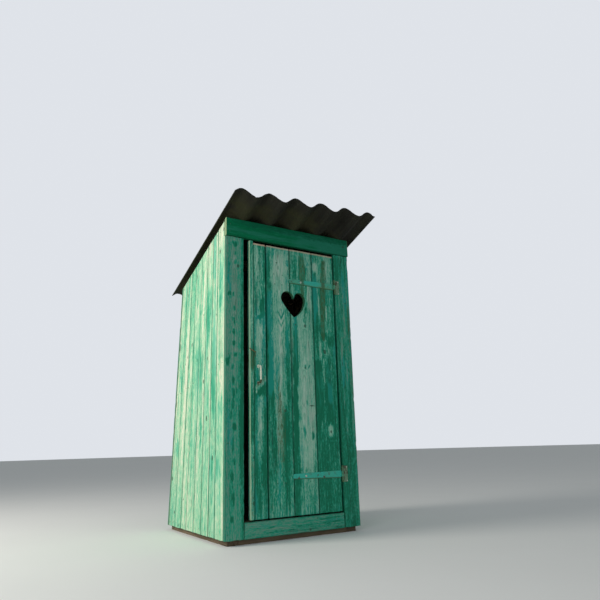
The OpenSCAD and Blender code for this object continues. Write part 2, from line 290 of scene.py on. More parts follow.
def board_mesh(width, depth, length, radius, step_across, step_along):
    """A board with rounded edges in its own directions: across, inward and along."""
    half = width / 2
    flat = half - radius
    face = spread(flat, step_across)
    arc = [math.pi / 2 * k / 3 for k in (1, 2)]
    arc = [(radius * math.sin(t), radius * math.cos(t)) for t in arc]
    right = [(flat + s, radius - c) for s, c in arc]
    right += [(half, v) for v in (radius, depth * 0.42, depth * 0.58, depth - radius)]
    right += [(flat + c, depth - radius + s) for s, c in arc]
    left = [(-u, depth - v) for u, v in right]
    ring = [(u, 0.0) for u in face] + right + [(u, depth) for u in face[::-1]] + left
    ring = np.array(ring)
    centre = np.clip(ring, (-flat, radius), (flat, depth - radius))
    stations = [(0.0, 0.3), (0.3 * radius, 0.75)]
    stations += [(w, 1.0) for w in spread(length / 2 - radius, step_along) + length / 2]
    stations += [(length - w, tint_and_roof_shade) for w, tint_and_roof_shade in stations[1::-1]]
    sections = [
        np.column_stack([centre + (ring - centre) * tint_and_roof_shade, np.full(len(ring), w)])
        for w, tint_and_roof_shade in stations
    ]
    n, m, side = len(ring), len(face), len(right)
    back = [m + side + (m - 1 - i) for i in range(m)]
    cap = [[i, i + 1, back[i + 1], back[i]] for i in range(m - 1)]
    cap.append([m - 1] + [m + i for i in range(side)] + [m + side])
    cap.append([2 * m + side - 1] + [2 * m + side + i for i in range(side)] + [0])
    last = (len(stations) - 1) * n
    faces = ring_faces(len(stations), n)
    faces += [[last + i for i in c] for c in cap]
    faces += [c[::-1] for c in cap]
    return np.concatenate(sections), faces


def cut_with(points, faces, cutter_points, cutter_faces):
    """The first mesh with the second taken out of it."""
    board = in_scene("cut", new_mesh("cut", points, faces))
    cutter = in_scene("cutter", new_mesh("cutter", cutter_points, cutter_faces))
    tool = board.modifiers.new("cut", "BOOLEAN")
    tool.operation = "DIFFERENCE"
    tool.solver = "EXACT"
    tool.object = cutter
    bpy.context.view_layer.update()
    result = board.evaluated_get(bpy.context.evaluated_depsgraph_get()).to_mesh()
    left = points_of(result), [list(p.vertices) for p in result.polygons]
    for thing in (board, cutter):
        mesh = thing.data
        bpy.data.objects.remove(thing)
        bpy.data.meshes.remove(mesh)
    return left


def felt(patches, h, z, seed, sway=1.0):
    """Sum of ragged patches: middle, height, half width, half height, amount, climb, slant."""
    total = np.zeros(len(h))
    sway_h = drift(z, seed + 21, 0.05) + 0.6 * patchwork(h, z, seed + 22, 0.012, 0.04) - 0.8
    sway_z = drift(h, seed + 23, 0.009) + 0.6 * drift(h, seed + 24, 0.028) - 0.8
    for x, y, half_h, half_z, amount, *turn in patches:
        climb, slant = (*turn, 0.0, 0.0)[:2]
        across = h - x - slant * (z - y) + sway * sway_h * min(half_h * 0.6, 0.01)
        along = z - y - climb * (h - x) + sway * sway_z * min(half_z * 0.8, 0.09)
        reach = (np.abs(across / half_h) ** 3 + np.abs(along / half_z) ** 3) ** (1 / 3)
        total += amount * (1 - step_up(reach, 0.6, 1.25))
    return total


def chevrons(marks, h, z):
    """Sum of V marks, each (middle, height of the point, half width, amount)."""
    total = np.zeros(len(h))
    for x, y, half, amount in marks:
        aside = np.abs(h - x)
        line = np.exp(-(((z - y - 2.0 * aside) / 0.013) ** 2))
        total += amount * line * (1 - step_up(aside, half * 0.6, half))
    return total


# How a board is worn, bent and painted, unless it is told otherwise
PLAIN_BOARD = dict(
    seam=0.003, chip=0.0022, ends=0.003, step_across=0.01, step_along=0.014,
    worn=0.35, worn_spread=0.25, patches=(), marks=(), blue=(), blueness=0.0, moss=(),
    raw_top=0.0, rawness=1.0, raw_ends=False, raw_side=0, raw_depth=1.0,
    spots=(), knot_count=2, painted=True, painted_back=False, plane=(0, 2),
    cutter=None, outline_gap=None,
)
FINE_STEPS = dict(step_across=0.006, step_along=0.0075)
SAWN = dict(painted=False, seam=0.0008, lift=0.0, cup=0.0)
RIM_WIDTH = 0.006
RAGGED_REACH = 0.12
NO_KNOT = 6.0


def new_board(seed, **facts):
    rng = np.random.default_rng(seed)
    own = dict(PLAIN_BOARD, seed=seed, rng=rng, shade=rng.random())
    own["lift"] = 0.0012 * (rng.random() - 0.3)
    own["cup"] = 0.0012 * (rng.random() - 0.5)
    unknown = set(facts) - set(own)
    if unknown:
        raise ValueError(f"a board has no {unknown}")
    return SimpleNamespace(**{**own, **facts})


def lay_board(pile, slab, board, low=0.0, high=1.0):
    """Lays one board in a slab, between two fractions of the slab's width."""
    width = slab.width * (high - low)
    depth, length = slab.depth, slab.length
    radius = min(sizes().edge_round, depth / 4)
    steps = board.step_across, board.step_along
    points, faces = board_mesh(width, depth, length, radius, *steps)
    if board.cutter is not None:
        points, faces = cut_with(points, faces, *board.cutter)
    u, v, w = points.T.copy()
    seed, rng = board.seed, board.rng
    side = np.sign(u)

    def sided(k, step):
        return np.where(side > 0, drift(w, seed + k, step), drift(w, seed + k + 1, step))

    def ragged(k):
        return (drift(u, seed + k, 0.02) + drift(u, seed + k + 1, 0.007) * 0.4) * board.ends

    # The board's own shape: its edges wander and are chipped, its face is cupped, its ends ragged
    outer = np.clip(np.abs(u) / (width / 2), 0, 1)
    swing = sided(1, 0.17) * 0.75 + sided(3, 0.03) * 0.25
    bite = step_up(sided(5, 0.045), 0.72, 1.0) * board.chip
    rim = np.exp(-(((width / 2 - np.abs(u)) / RIM_WIDTH) ** 2))
    front = 1 - step_up(v, 0.0, depth * 0.6)
    narrow = board.seam / 2 * (0.25 + 0.75 * swing) * outer * (v < depth * 0.5)
    pulled_u = u - side * (narrow + bite * rim * front)
    swell = (patchwork(u, w, seed + 7, 0.045, 0.3) - 0.5) * 0.0007
    edge_fall = bite * rim * front * 0.5
    pulled_v = v + board.lift + board.cup * (1 - (2 * u / width) ** 2) + swell + edge_fall
    foot, head = (np.clip(1 - far / RAGGED_REACH, 0, 1) for far in (w, length - w))
    pulled_w = w + ragged(8) * foot - ragged(10) * head
    a = low + (pulled_u / width + 0.5) * (high - low)
    placed = slab.at(a, pulled_v / depth, pulled_w / length)
    placed[:, 2] = np.maximum(placed[:, 2], 0.0)
    if slab.turned:
        faces = [face[::-1] for face in faces]

    # What the finish reads: edges, wear, moss and painted shade, blue, raw wood, knots and sawn ends
    none = np.zeros(len(u))
    along_edge = np.clip(width / 2 - radius - np.abs(u), 0, None)
    along_end = np.minimum(w, length - w)
    gap = np.minimum(along_edge, along_end)
    # The heart's cut sides are marked as shade: they are painted and take the moss colour in full, as
    # painted shade inside the hole.
    shade = none
    if board.outline_gap is not None:
        reach_in = board.outline_gap(u, w)
        gap = np.minimum(gap, reach_in)
        shade = ((reach_in < 0.0005) & (v > 0.001)) * 1.0
    edge = np.exp(-gap / RIM_WIDTH)
    h, z = placed[:, board.plane[0]], placed[:, board.plane[1]]
    worn = board.worn + board.worn_spread * (drift(w, seed + 12, 0.55) - 0.5)
    worn = worn + felt(board.patches, h, z, seed) + chevrons(board.marks, h, z)
    moss = np.maximum(felt(board.moss, h, z, seed + 30, 0.35), shade)
    blue = board.blueness + felt(board.blue, h, z, seed + 60)
    raw = none
    near_front = v < depth * board.raw_depth
    if board.raw_top:
        edge_at = length - board.raw_top * (0.7 + 0.6 * drift(u, seed + 13, 0.03))
        raw = step_up(w, edge_at - 0.002, edge_at + 0.002) * board.rawness
    if board.raw_ends:
        raw = np.maximum(raw, (along_end < radius * 0.5) & near_front)
    if board.raw_side:
        raw = np.maximum(raw, (board.raw_side * u > width / 2 - radius * 0.6) & near_front)
    painted = none
    if board.painted:
        painted = 1 - step_up(v, depth - radius * 1.2, depth - radius * 0.4)
    painted = np.maximum(painted, 1.0 if board.painted_back else shade)
    ring = np.full(len(u), NO_KNOT)
    for _ in range(board.knot_count):
        ku = (rng.random() - 0.5) * width * 0.7
        kw = rng.random() * length
        kr = 0.006 + 0.009 * rng.random()
        ring = np.minimum(ring, np.hypot(u - ku, (w - kw) * 0.75) / kr)
    for x, y, r, *tall in board.spots:
        ring = np.minimum(ring, np.hypot(h - x, (z - y) * (*tall, 0.75)[0]) / r)
    pile.add(
        placed,
        faces,
        lay=points,
        board=(seed * 0.37 % 50.0, board.shade, 0.0),
        wear=np.column_stack([edge, worn, moss]),
        knot=np.column_stack([ring, along_end < radius * 1.05, painted]),
        tone=np.column_stack([blue, raw, none]),
    )


# Finishes: a small helper for node trees, the shared effects and the materials


class Value:
    """A socket's value, which is added, subtracted and multiplied as a number is."""

    def __init__(self, wires, socket):
        self.wires, self.socket = wires, socket

    def __add__(self, other):
        return self.wires.math("ADD", self, other)

    def __sub__(self, other):
        return self.wires.math("SUBTRACT", self, other)

    def __mul__(self, other):
        return self.wires.math("MULTIPLY", self, other)


class Wires:
    """Adds nodes to one tree and links them."""

    def __init__(self, tree):
        self.tree = tree

    def put(self, target, value):
        value = getattr(value, "socket", value)
        if isinstance(value, bpy.types.NodeSocket):
            self.tree.links.new(value, target)
        elif isinstance(value, tuple):
            target.default_value = (*value, 1.0)
        elif value is not None:
            target.default_value = value

    def fill(self, sockets, **values):
        """Puts each value on the socket of its name."""
        for name, value in values.items():
            if value is not None:
                self.put(sockets[name.replace("_", " ").title()], value)

    def named(self, sockets):
        """The values of sockets, each under its own name in small letters."""
        names = {s.name.lower().replace(" ", "_"): Value(self, s) for s in sockets}
        return SimpleNamespace(**names)

    def node(self, kind, **settings):
        made = self.tree.nodes.new(f"ShaderNode{kind}")
        for name, value in settings.items():
            setattr(made, name, value)
        return made

    def in_order(self, kind, *values, **settings):
        """A node with its values in the order of its sockets, and its first result."""
        made = self.node(kind, **settings)
        for socket, value in zip(made.inputs, values):
            self.put(socket, value)
        return Value(self, made.outputs[0])

    def math(self, operation, *values):
        return self.in_order("Math", *values, operation=operation)

    def step(self, value, low, high, out_low=0.0, out_high=1.0):
        values = value, low, high, out_low, out_high
        return self.in_order("MapRange", *values, interpolation_type="SMOOTHSTEP")

    def join(self, x, y, z):
        return self.in_order("CombineXYZ", x, y, z)

    def between(self, factor, a, b):
        """A value between two others."""
        return self.in_order("Mix", factor, None, a, b, data_type="FLOAT")

    def mix(self, factor, a, b):
        """A colour between two others."""
        made = self.node("Mix", data_type="RGBA")
        for k, value in ((0, factor), (6, a), (7, b)):
            self.put(made.inputs[k], value)
        return Value(self, made.outputs[2])

    def coats(self, skin, *coats):
        """A colour with others laid over it in order, each as (share, colour)."""
        for share, coat in coats:
            skin = self.mix(share, skin, coat)
        return skin

    def split(self, vector):
        made = self.node("SeparateXYZ")
        self.put(made.inputs[0], vector)
        return [Value(self, socket) for socket in made.outputs]

    def read(self, layer):
        """The three values of one of the layers of a Pile."""
        return self.split(self.node("Attribute", attribute_name=layer).outputs["Vector"])

    def noise(self, vector, scale=1.0, detail=2.0, roughness=0.5, w=None):
        made = self.node("TexNoise", noise_dimensions="3D" if w is None else "4D")
        facts = dict(scale=scale, detail=detail, roughness=roughness, w=w)
        self.fill(made.inputs, vector=vector, **facts)
        return Value(self, made.outputs["Fac"])

    def grained(self, lay, across, along, seed, detail=2.0, roughness=0.5):
        """Noise that is drawn out along the grain."""
        u, v, w = lay
        place = self.join(u * across, v * across, w * along)
        return self.noise(place, 1.0, detail, roughness, seed)

    def group(self, tree, **values):
        made = self.node("Group", node_tree=tree)
        self.fill(made.inputs, **values)
        return self.named(made.outputs)


BOARD_PLACE = {"Lay": "Vector", "Seed": 0.0}
GRAIN_MARKS = {"Ring": 0.0, "Fibre": 0.5, "Eye": 0.0, "Crack": 0.0}


def effect(name, inputs, outputs=("Color", "Roughness", "Height")):
    """An empty group with named sockets, from values' defaults or kinds, and its wires."""
    tree = bpy.data.node_groups.new(name, "ShaderNodeTree")
    for socket, fact in inputs.items():
        kind = fact if isinstance(fact, str) else "Float"
        made = tree.interface.new_socket(socket, in_out="INPUT", socket_type=f"NodeSocket{kind}")
        if kind == "Float":
            made.default_value = fact
    for socket in outputs:
        kind = "Color" if socket == "Color" else "Float"
        tree.interface.new_socket(socket, in_out="OUTPUT", socket_type=f"NodeSocket{kind}")
    t = Wires(tree)
    given = t.named(list(tree.nodes.new("NodeGroupInput").outputs)[: len(inputs)])
    return tree, t, given, tree.nodes.new("NodeGroupOutput").inputs


@cache
def streak_effect():
    """Soft streaks along the grain."""
    facts = {**BOARD_PLACE, "Width": 0.03, "Length": 0.6}
    tree, t, given, result = effect("long_streaks", facts, ["Value"])
    across = t.math("DIVIDE", 1.0, given.width)
    along = t.math("DIVIDE", 1.0, given.length)
    t.fill(result, value=t.grained(t.split(given.lay), across, along, given.seed, 3.0, 0.55))
    return tree


@cache
def grain_effect():
    """Growth rings cut by the board's face, fibres, knots and long cracks."""
    facts = {"Knot": NO_KNOT, "Ring Width": 0.005, "Rise": 0.015, "Heart Depth": 0.03}
    tree, t, given, result = effect("timber_grain", {**BOARD_PLACE, **facts}, GRAIN_MARKS)
    u, v, w = lay = t.split(given.lay)
    seed = given.seed
    sway = t.noise(t.join(seed, 3.7, w * 1.3), detail=1.0) - 0.5
    dip = t.noise(t.join(seed, 9.1, w * 2.6)) - 0.5
    wobble = t.grained(lay, 30.0, 5.0, seed) - 0.5
    side = u - sway * 0.09
    deep = v + (given.heart_depth + w * given.rise + dip * 0.05)
    radius = t.math("SQRT", side * side + deep * deep)
    bend = t.math("EXPONENT", given.knot * -0.9)
    radius = radius + bend * 0.016 + wobble * 0.004
    saw = t.math("FRACT", t.math("DIVIDE", radius, given.ring_width))
    line = t.noise(t.join(u * 110.0, v * 30.0, w * 1.8), 1.0, 1.0, 0.4, seed)
    line = t.math("ABSOLUTE", line - 0.5)
    where = t.noise(t.join(u * 26.0, 4.4, w * 2.1), detail=1.0, w=seed)
    t.fill(
        result,
        ring=t.step(saw, 0.3, 0.85) * t.step(saw, 0.9, 1.0, 1.0, 0.0),
        fibre=t.grained(lay, 520.0, 18.0, seed, 2.0, 0.6),
        eye=t.step(given.knot + wobble * 0.9, 0.7, 1.1, 1.0, 0.0),
        crack=t.step(line, 0.004, 0.016, 1.0, 0.0) * t.step(where, 0.52, 0.6),
    )
    return tree


PAINTS = ("deep_paint", "paint", "sea_paint", "washed", "bare", "raw_wood", "moss_colour")


@cache
def worn_paint_effect():
    """Paint that weather has taken off in long streaks, down to thin remains and bare wood."""
    facts = {"Shade": 0.5, "Edge": 0.0, "Worn": 0.3, "Moss": 0.0, "Blue": 0.0, "Raw": 0.0}
    facts.update(GRAIN_MARKS)
    facts.update({name.replace("_", " ").title(): "Color" for name in PAINTS})
    facts.update({"Streak Width": 0.03, "Streak Length": 0.7, "Contrast": 1.0, "Mottle": 1.0})
    facts.update({"Edge Wear": 0.0, "Seam Dirt": 0.5})
    tree, t, given, result = effect("worn_paint", {**BOARD_PLACE, **facts})

    def streak(width, length, shift):
        return t.group(
            streak_effect(),
            lay=given.lay,
            seed=given.seed + shift,
            width=given.streak_width * width,
            length=given.streak_length * length,
        ).value

    def around(value, amount):
        return (value - 0.5) * amount

    broad = streak(1.0, 1.0, 0.0)
    slim = streak(0.3, 0.45, 11.0)
    brush = streak(0.12, 0.1, 23.0)
    flake = streak(0.3, 0.035, 31.0)
    hue = streak(1.5, 0.7, 37.0)
    grit = streak(0.4, 0.09, 53.0)

    # How far the paint has gone: under 0 it is whole, at 1.25 the wood is bare
    field = given.worn + given.contrast * (around(broad, 1.7) + around(slim, 1.5))
    field = field + given.mottle * (around(brush, 1.6) + around(flake, 1.5) + around(grit, 1.1))
    field = field + around(given.fibre, 0.5) + given.edge * given.edge_wear - given.ring * 0.14
    thin = t.step(field, 0.5, 0.82)
    bare = t.step(field, 0.9, 1.25)
    sea = t.step(hue + (around(given.shade, 0.25) + given.blue), 0.5, 0.7)
    paint = t.mix(sea, given.paint, given.sea_paint)
    low = t.mix(sea * 0.8, given.deep_paint, paint)
    # Moss, and painted shade where the mesh asks for it, both laid in the moss colour
    moss_and_shade_mask = given.moss * 1.3 + (around(brush, 1.9) + around(flake, 1.3))
    moss_and_shade_mask = moss_and_shade_mask + (around(slim, 0.6) + around(given.fibre, 0.7))
    moss_and_shade_mask = t.step(moss_and_shade_mask, 0.45, 0.85) * t.step(given.moss, 0.05, 0.3)
    skin = t.coats(
        t.mix(t.step(field, -0.05, 0.25), low, paint),
        (t.step(field, 0.3, 0.55, 0.0, 0.45), given.washed),
        (thin, given.washed),
        (bare, given.bare),
        (given.ring * (thin * 0.2 + 0.08), given.deep_paint),
        (t.step(brush, 0.56, 0.68, 0.0, 0.5) * t.step(flake, 0.42, 0.55), paint),
        (t.step(given.fibre, 0.35, 0.6, 0.18, 0.0), given.deep_paint),
        (given.eye * 0.78, (0.03, 0.085, 0.05)),
        (given.crack * 0.7, (0.008, 0.02, 0.012)),
        # Board edges along the seams turn towards a darker deep paint: partly dirt, partly painted shade
        # between the boards.
        (
            given.seam_dirt * t.step(given.edge, 0.55, 0.98),
            t.mix(0.5, given.deep_paint, (0.01, 0.02, 0.012)),
        ),
        (moss_and_shade_mask * t.step(grit + around(flake, 0.8), 0.3, 0.7, 0.45, 1.0), given.moss_colour),
        (given.raw * t.step(brush, 0.3, 0.6, 1.0, 0.75), given.raw_wood),
    )
    height = t.step(field, 0.45, 0.6) * -0.3 - given.crack * 1.2 + given.ring * 0.3
    t.fill(
        result,
        color=skin,
        roughness=thin * 0.2 + 0.45 + bare * 0.12 + moss_and_shade_mask * 0.2,
        height=height + given.fibre * (thin * 0.45 + 0.15),
    )
    return tree


@cache
def old_wood_effect():
    """Bare wood that has aged: rings, fibres, knots, cracks and stains."""
    facts = {**BOARD_PLACE, "Shade": 0.5, **GRAIN_MARKS, "Cut": 0.0}
    tree, t, given, result = effect("old_wood", {**facts, "Light": "Color", "Dark": "Color"})
    stain = t.grained(t.split(given.lay), 14.0, 3.0, given.seed, 3.0, 0.6)
    tone = stain * 0.9 + given.shade * 0.35
    skin = t.coats(
        t.mix(t.step(tone, 0.35, 0.9), given.dark, given.light),
        (given.ring * 0.45, t.mix(0.6, given.dark, (0.03, 0.015, 0.008))),
        (t.step(given.fibre, 0.35, 0.7, 0.3, 0.0), given.dark),
        (given.cut * 0.45, (0.08, 0.055, 0.035)),
        (given.eye * 0.75, (0.05, 0.026, 0.014)),
        (given.crack * 0.85, (0.012, 0.008, 0.006)),
    )
    height = given.ring * 0.35 + given.fibre * 0.5 - given.crack * 1.2
    t.fill(result, color=skin, roughness=given.fibre * 0.15 + 0.72, height=height)
    return tree


@cache
def rust_effect():
    """Paint or metal that rust breaks through, more at the edges and near the fixings."""
    facts = {"Place": "Vector", "Amount": 0.4, "Grain Size": 0.006}
    facts.update({"Skin": "Color", "Rust": "Color", "Dark Rust": "Color"})
    tree, t, given, result = effect("rust", facts, ("Color", "Rusty", "Height"))
    scale = t.math("DIVIDE", 1.0, given.grain_size)
    coarse = t.noise(given.place, scale * 0.3, 4.0, 0.6)
    fine = t.noise(given.place, scale * 2.0, 3.0, 0.6)
    rusty = t.step(given.amount + (coarse - 0.5) * 2.2 + (fine - 0.5) * 0.5, 0.42, 0.62)
    deep = t.mix(t.step(fine, 0.35, 0.7), given.rust, given.dark_rust)
    deep = t.mix(t.step(coarse, 0.5, 0.75, 0.0, 0.4), deep, given.dark_rust)
    skin = t.mix(t.step(fine, 0.4, 0.7, 0.0, 0.25), given.skin, (0.02, 0.02, 0.02))
    height = rusty * 0.5 + fine * rusty * 0.8
    t.fill(result, color=t.mix(rusty, skin, deep), rusty=rusty, height=height)
    return tree


def blank_material(name, shine=0.5):
    """A material with its wires and its principled shader's inputs."""
    material = bpy.data.materials.new(name)
    material.use_nodes = True
    material.node_tree.nodes.clear()
    t = Wires(material.node_tree)
    shader = t.node("BsdfPrincipled")
    shader.inputs["Specular IOR Level"].default_value = shine
    t.fill(t.node("OutputMaterial").inputs, surface=shader.outputs["BSDF"])
    return material, t, shader.inputs


def bump(t, shader, height, strength, distance):
    made = t.node("Bump")
    t.fill(made.inputs, strength=strength, distance=distance, height=height)
    t.fill(shader, normal=made.outputs["Normal"])


@cache
def painted_wood(name, shine=0.22, ring_width=0.005, rise=0.015, heart_depth=0.03, **look):
    """Painted boards whose backs are bare."""
    look = {**{paint: chosen_colour(paint) for paint in PAINTS}, **look}
    material, t, shader = blank_material(name, shine)
    seed, shade, _ = t.read("board")
    edge, worn, moss = t.read("wear")
    ring_gap, cut, painted = t.read("knot")
    blue, raw, _ = t.read("tone")
    place = dict(lay=t.node("Attribute", attribute_name="lay").outputs["Vector"], seed=seed)
    facts = dict(ring_width=ring_width, rise=rise, heart_depth=heart_depth)
    grain = t.group(grain_effect(), knot=ring_gap, **place, **facts)
    place.update(shade=shade, **vars(grain))
    wear = dict(edge=edge, worn=worn, moss=moss, blue=blue, raw=raw)
    paint = t.group(worn_paint_effect(), **place, **wear, **look)
    inside = dict(light=(0.26, 0.19, 0.12), dark=(0.11, 0.075, 0.045))
    wood = t.group(old_wood_effect(), cut=cut, **place, **inside)
    rough = t.between(painted, wood.roughness, paint.roughness)
    t.fill(shader, base_color=t.mix(painted, wood.color, paint.color), roughness=rough)
    bump(t, shader, t.between(painted, wood.height, paint.height), 0.6, 0.0012)
    return material


@cache
def bare_wood(name, light, dark):
    """Timber that never had paint."""
    material, t, shader = blank_material(name, 0.3)
    seed, shade, _ = t.read("board")
    ring_gap, cut, _ = t.read("knot")
    place = dict(lay=t.node("Attribute", attribute_name="lay").outputs["Vector"], seed=seed)
    grain = t.group(grain_effect(), knot=ring_gap, heart_depth=0.02, **place)
    place.update(shade=shade, cut=cut, **vars(grain))
    wood = t.group(old_wood_effect(), light=light, dark=dark, **place)
    t.fill(shader, base_color=wood.color, roughness=wood.roughness)
    bump(t, shader, wood.height, 0.6, 0.0012)
    return material


@cache
def rusty_metal(
    name, skin, amount, metallic=0.0, size=0.006, rough=(0.4, 0.85), old=None, rust=None,
    dark=(0.035, 0.04, 0.032),
):
    """Iron or steel with rust, under paint or bare, with more rust, and moss and painted shade in the
    moss colour, where the mesh asks.
    """
    material, t, shader = blank_material(name)
    place = t.node("TexCoord").outputs["Object"]
    more, aged, moss = t.read("wear")
    rust = t.group(
        rust_effect(),
        place=place,
        amount=more + amount,
        skin=t.mix(aged, skin, old or skin),
        rust=rust or chosen_colour("rust"),
        dark_rust=dark,
        grain_size=size,
    )
    ragged = t.noise(place, 160.0, 3.0, 0.6)
    moss = t.step(moss + (ragged - 0.5) * 1.4, 0.3, 0.75, 0.0, 0.85)
    t.fill(
        shader,
        base_color=t.mix(moss, rust.color, chosen_colour("moss_colour")),
        roughness=t.step(rust.rusty, 0.0, 1.0, *rough),
    )
    if metallic:
        t.fill(shader, metallic=t.step(rust.rusty, 0.0, 1.0, metallic, 0.0))
    bump(t, shader, rust.height, 0.5, 0.0006)
    return material


def fibre_cement():
    """Corrugated sheet, nearly black with age, with moss and lichen."""
    material, t, shader = blank_material("fibre_cement", 0.25)
    place = t.node("TexCoord").outputs["Object"]
    x, s, h = t.read("lay")
    top, edge, _ = t.read("wear")
    broad = t.noise(place, 3.5, 4.0, 0.6)
    spots = t.noise(place, 28.0, 4.0, 0.65)
    fine = t.noise(place, 260.0, 3.0, 0.6)
    run = t.noise(t.join(x * 24.0, s * 2.0, h), 1.0, 3.0, 0.6)
    lichen = t.step(spots, 0.3, 0.38, 1.0, 0.0) * t.step(broad, 0.45, 0.6)
    weathered = t.coats(
        chosen_colour("sheet"),
        (t.step(broad + run * 0.6, 0.6, 1.0), (0.13, 0.135, 0.12)),
        (t.step(spots, 0.58, 0.68, 0.0, 0.75), (0.035, 0.045, 0.02)),
        (lichen * 0.7, (0.23, 0.24, 0.16)),
    )
    olive = t.step(broad, 0.4, 0.58, 0.0, 0.8) * t.step(s, -1.4, -1.3, 0.15, 1.0)
    under = t.coats(
        (0.018, 0.016, 0.012),
        (t.step(run, 0.35, 0.65), (0.036, 0.034, 0.024)),
        (olive, (0.056, 0.056, 0.022)),
        (t.step(fine, 0.3, 0.7, 0.25, 0.0), (0.01, 0.01, 0.008)),
    )
    skin = t.coats(
        t.mix(top, under, weathered),
        (t.step(fine, 0.35, 0.65, 0.25, 0.0), (0.012, 0.012, 0.01)),
        (edge * 0.35, (0.02, 0.022, 0.018)),
    )
    t.fill(shader, base_color=skin, roughness=t.step(spots, 0.3, 0.7, 0.78, 0.95))
    bump(t, shader, fine * 0.5 + spots * 0.6, 0.5, 0.0015)
    return material


def plain_iron():
    return rusty_metal("rusty_iron", (0.1, 0.11, 0.1), 0.75, 0.6)


def frame_wood():
    return bare_wood("frame_timber", (0.3, 0.22, 0.14), (0.12, 0.085, 0.05))


def side_paint():
    """The sun-bleached paint of the side and rear walls."""
    return painted_wood(
        "side_paint",
        deep_paint=(0.035, 0.36, 0.2),
        paint=(0.11, 0.52, 0.31),
        sea_paint=(0.2, 0.58, 0.4),
        washed=(0.44, 0.72, 0.46),
        bare=(0.83, 0.81, 0.63),
        raw_wood=(0.8, 0.66, 0.5),
        contrast=1.4,
        mottle=1.35,
        streak_length=0.9,
        ring_width=0.004,
        edge_wear=0.15,
        seam_dirt=0.85,
    )


# Seams between the boards of each wall, as parts of its width from the front or from the left
LEFT_SEAMS = (0.0, 0.137, 0.24, 0.365, 0.498, 0.64, 0.745, 0.87, 1.0)
RIGHT_SEAMS = (0.0, 0.118, 0.262, 0.373, 0.5, 0.634, 0.741, 0.877, 1.0)
REAR_SEAMS = (0.0, 0.112, 0.221, 0.338, 0.452, 0.557, 0.668, 0.782, 0.889, 1.0)
FLOOR_SEAMS = (0.0, 0.128, 0.262, 0.39, 0.512, 0.64, 0.765, 0.884, 1.0)
REAR_LEAN = math.radians(6)
LEDGE_NAILS = 0.036

# The timbers of each piece, by the way that they run
TIMBERS = {
    "ground_timbers": (
        ("back", "left_sill right_sill middle_joist"),
        ("sideways", "front_sill rear_sill"),
    ),
    "wall_timbers": (
        ("upright", "front_left_post front_right_post rear_left_post rear_right_post"),
        ("back", "left_mid_rail right_mid_rail"),
        ("sideways", "rear_mid_rail"),
    ),
    "roof_timbers": (
        ("sideways", "front_top_rail rear_top_rail"),
        ("back", "left_rafter right_rafter"),
        ("sideways", "middle_purlin"),
    ),
}

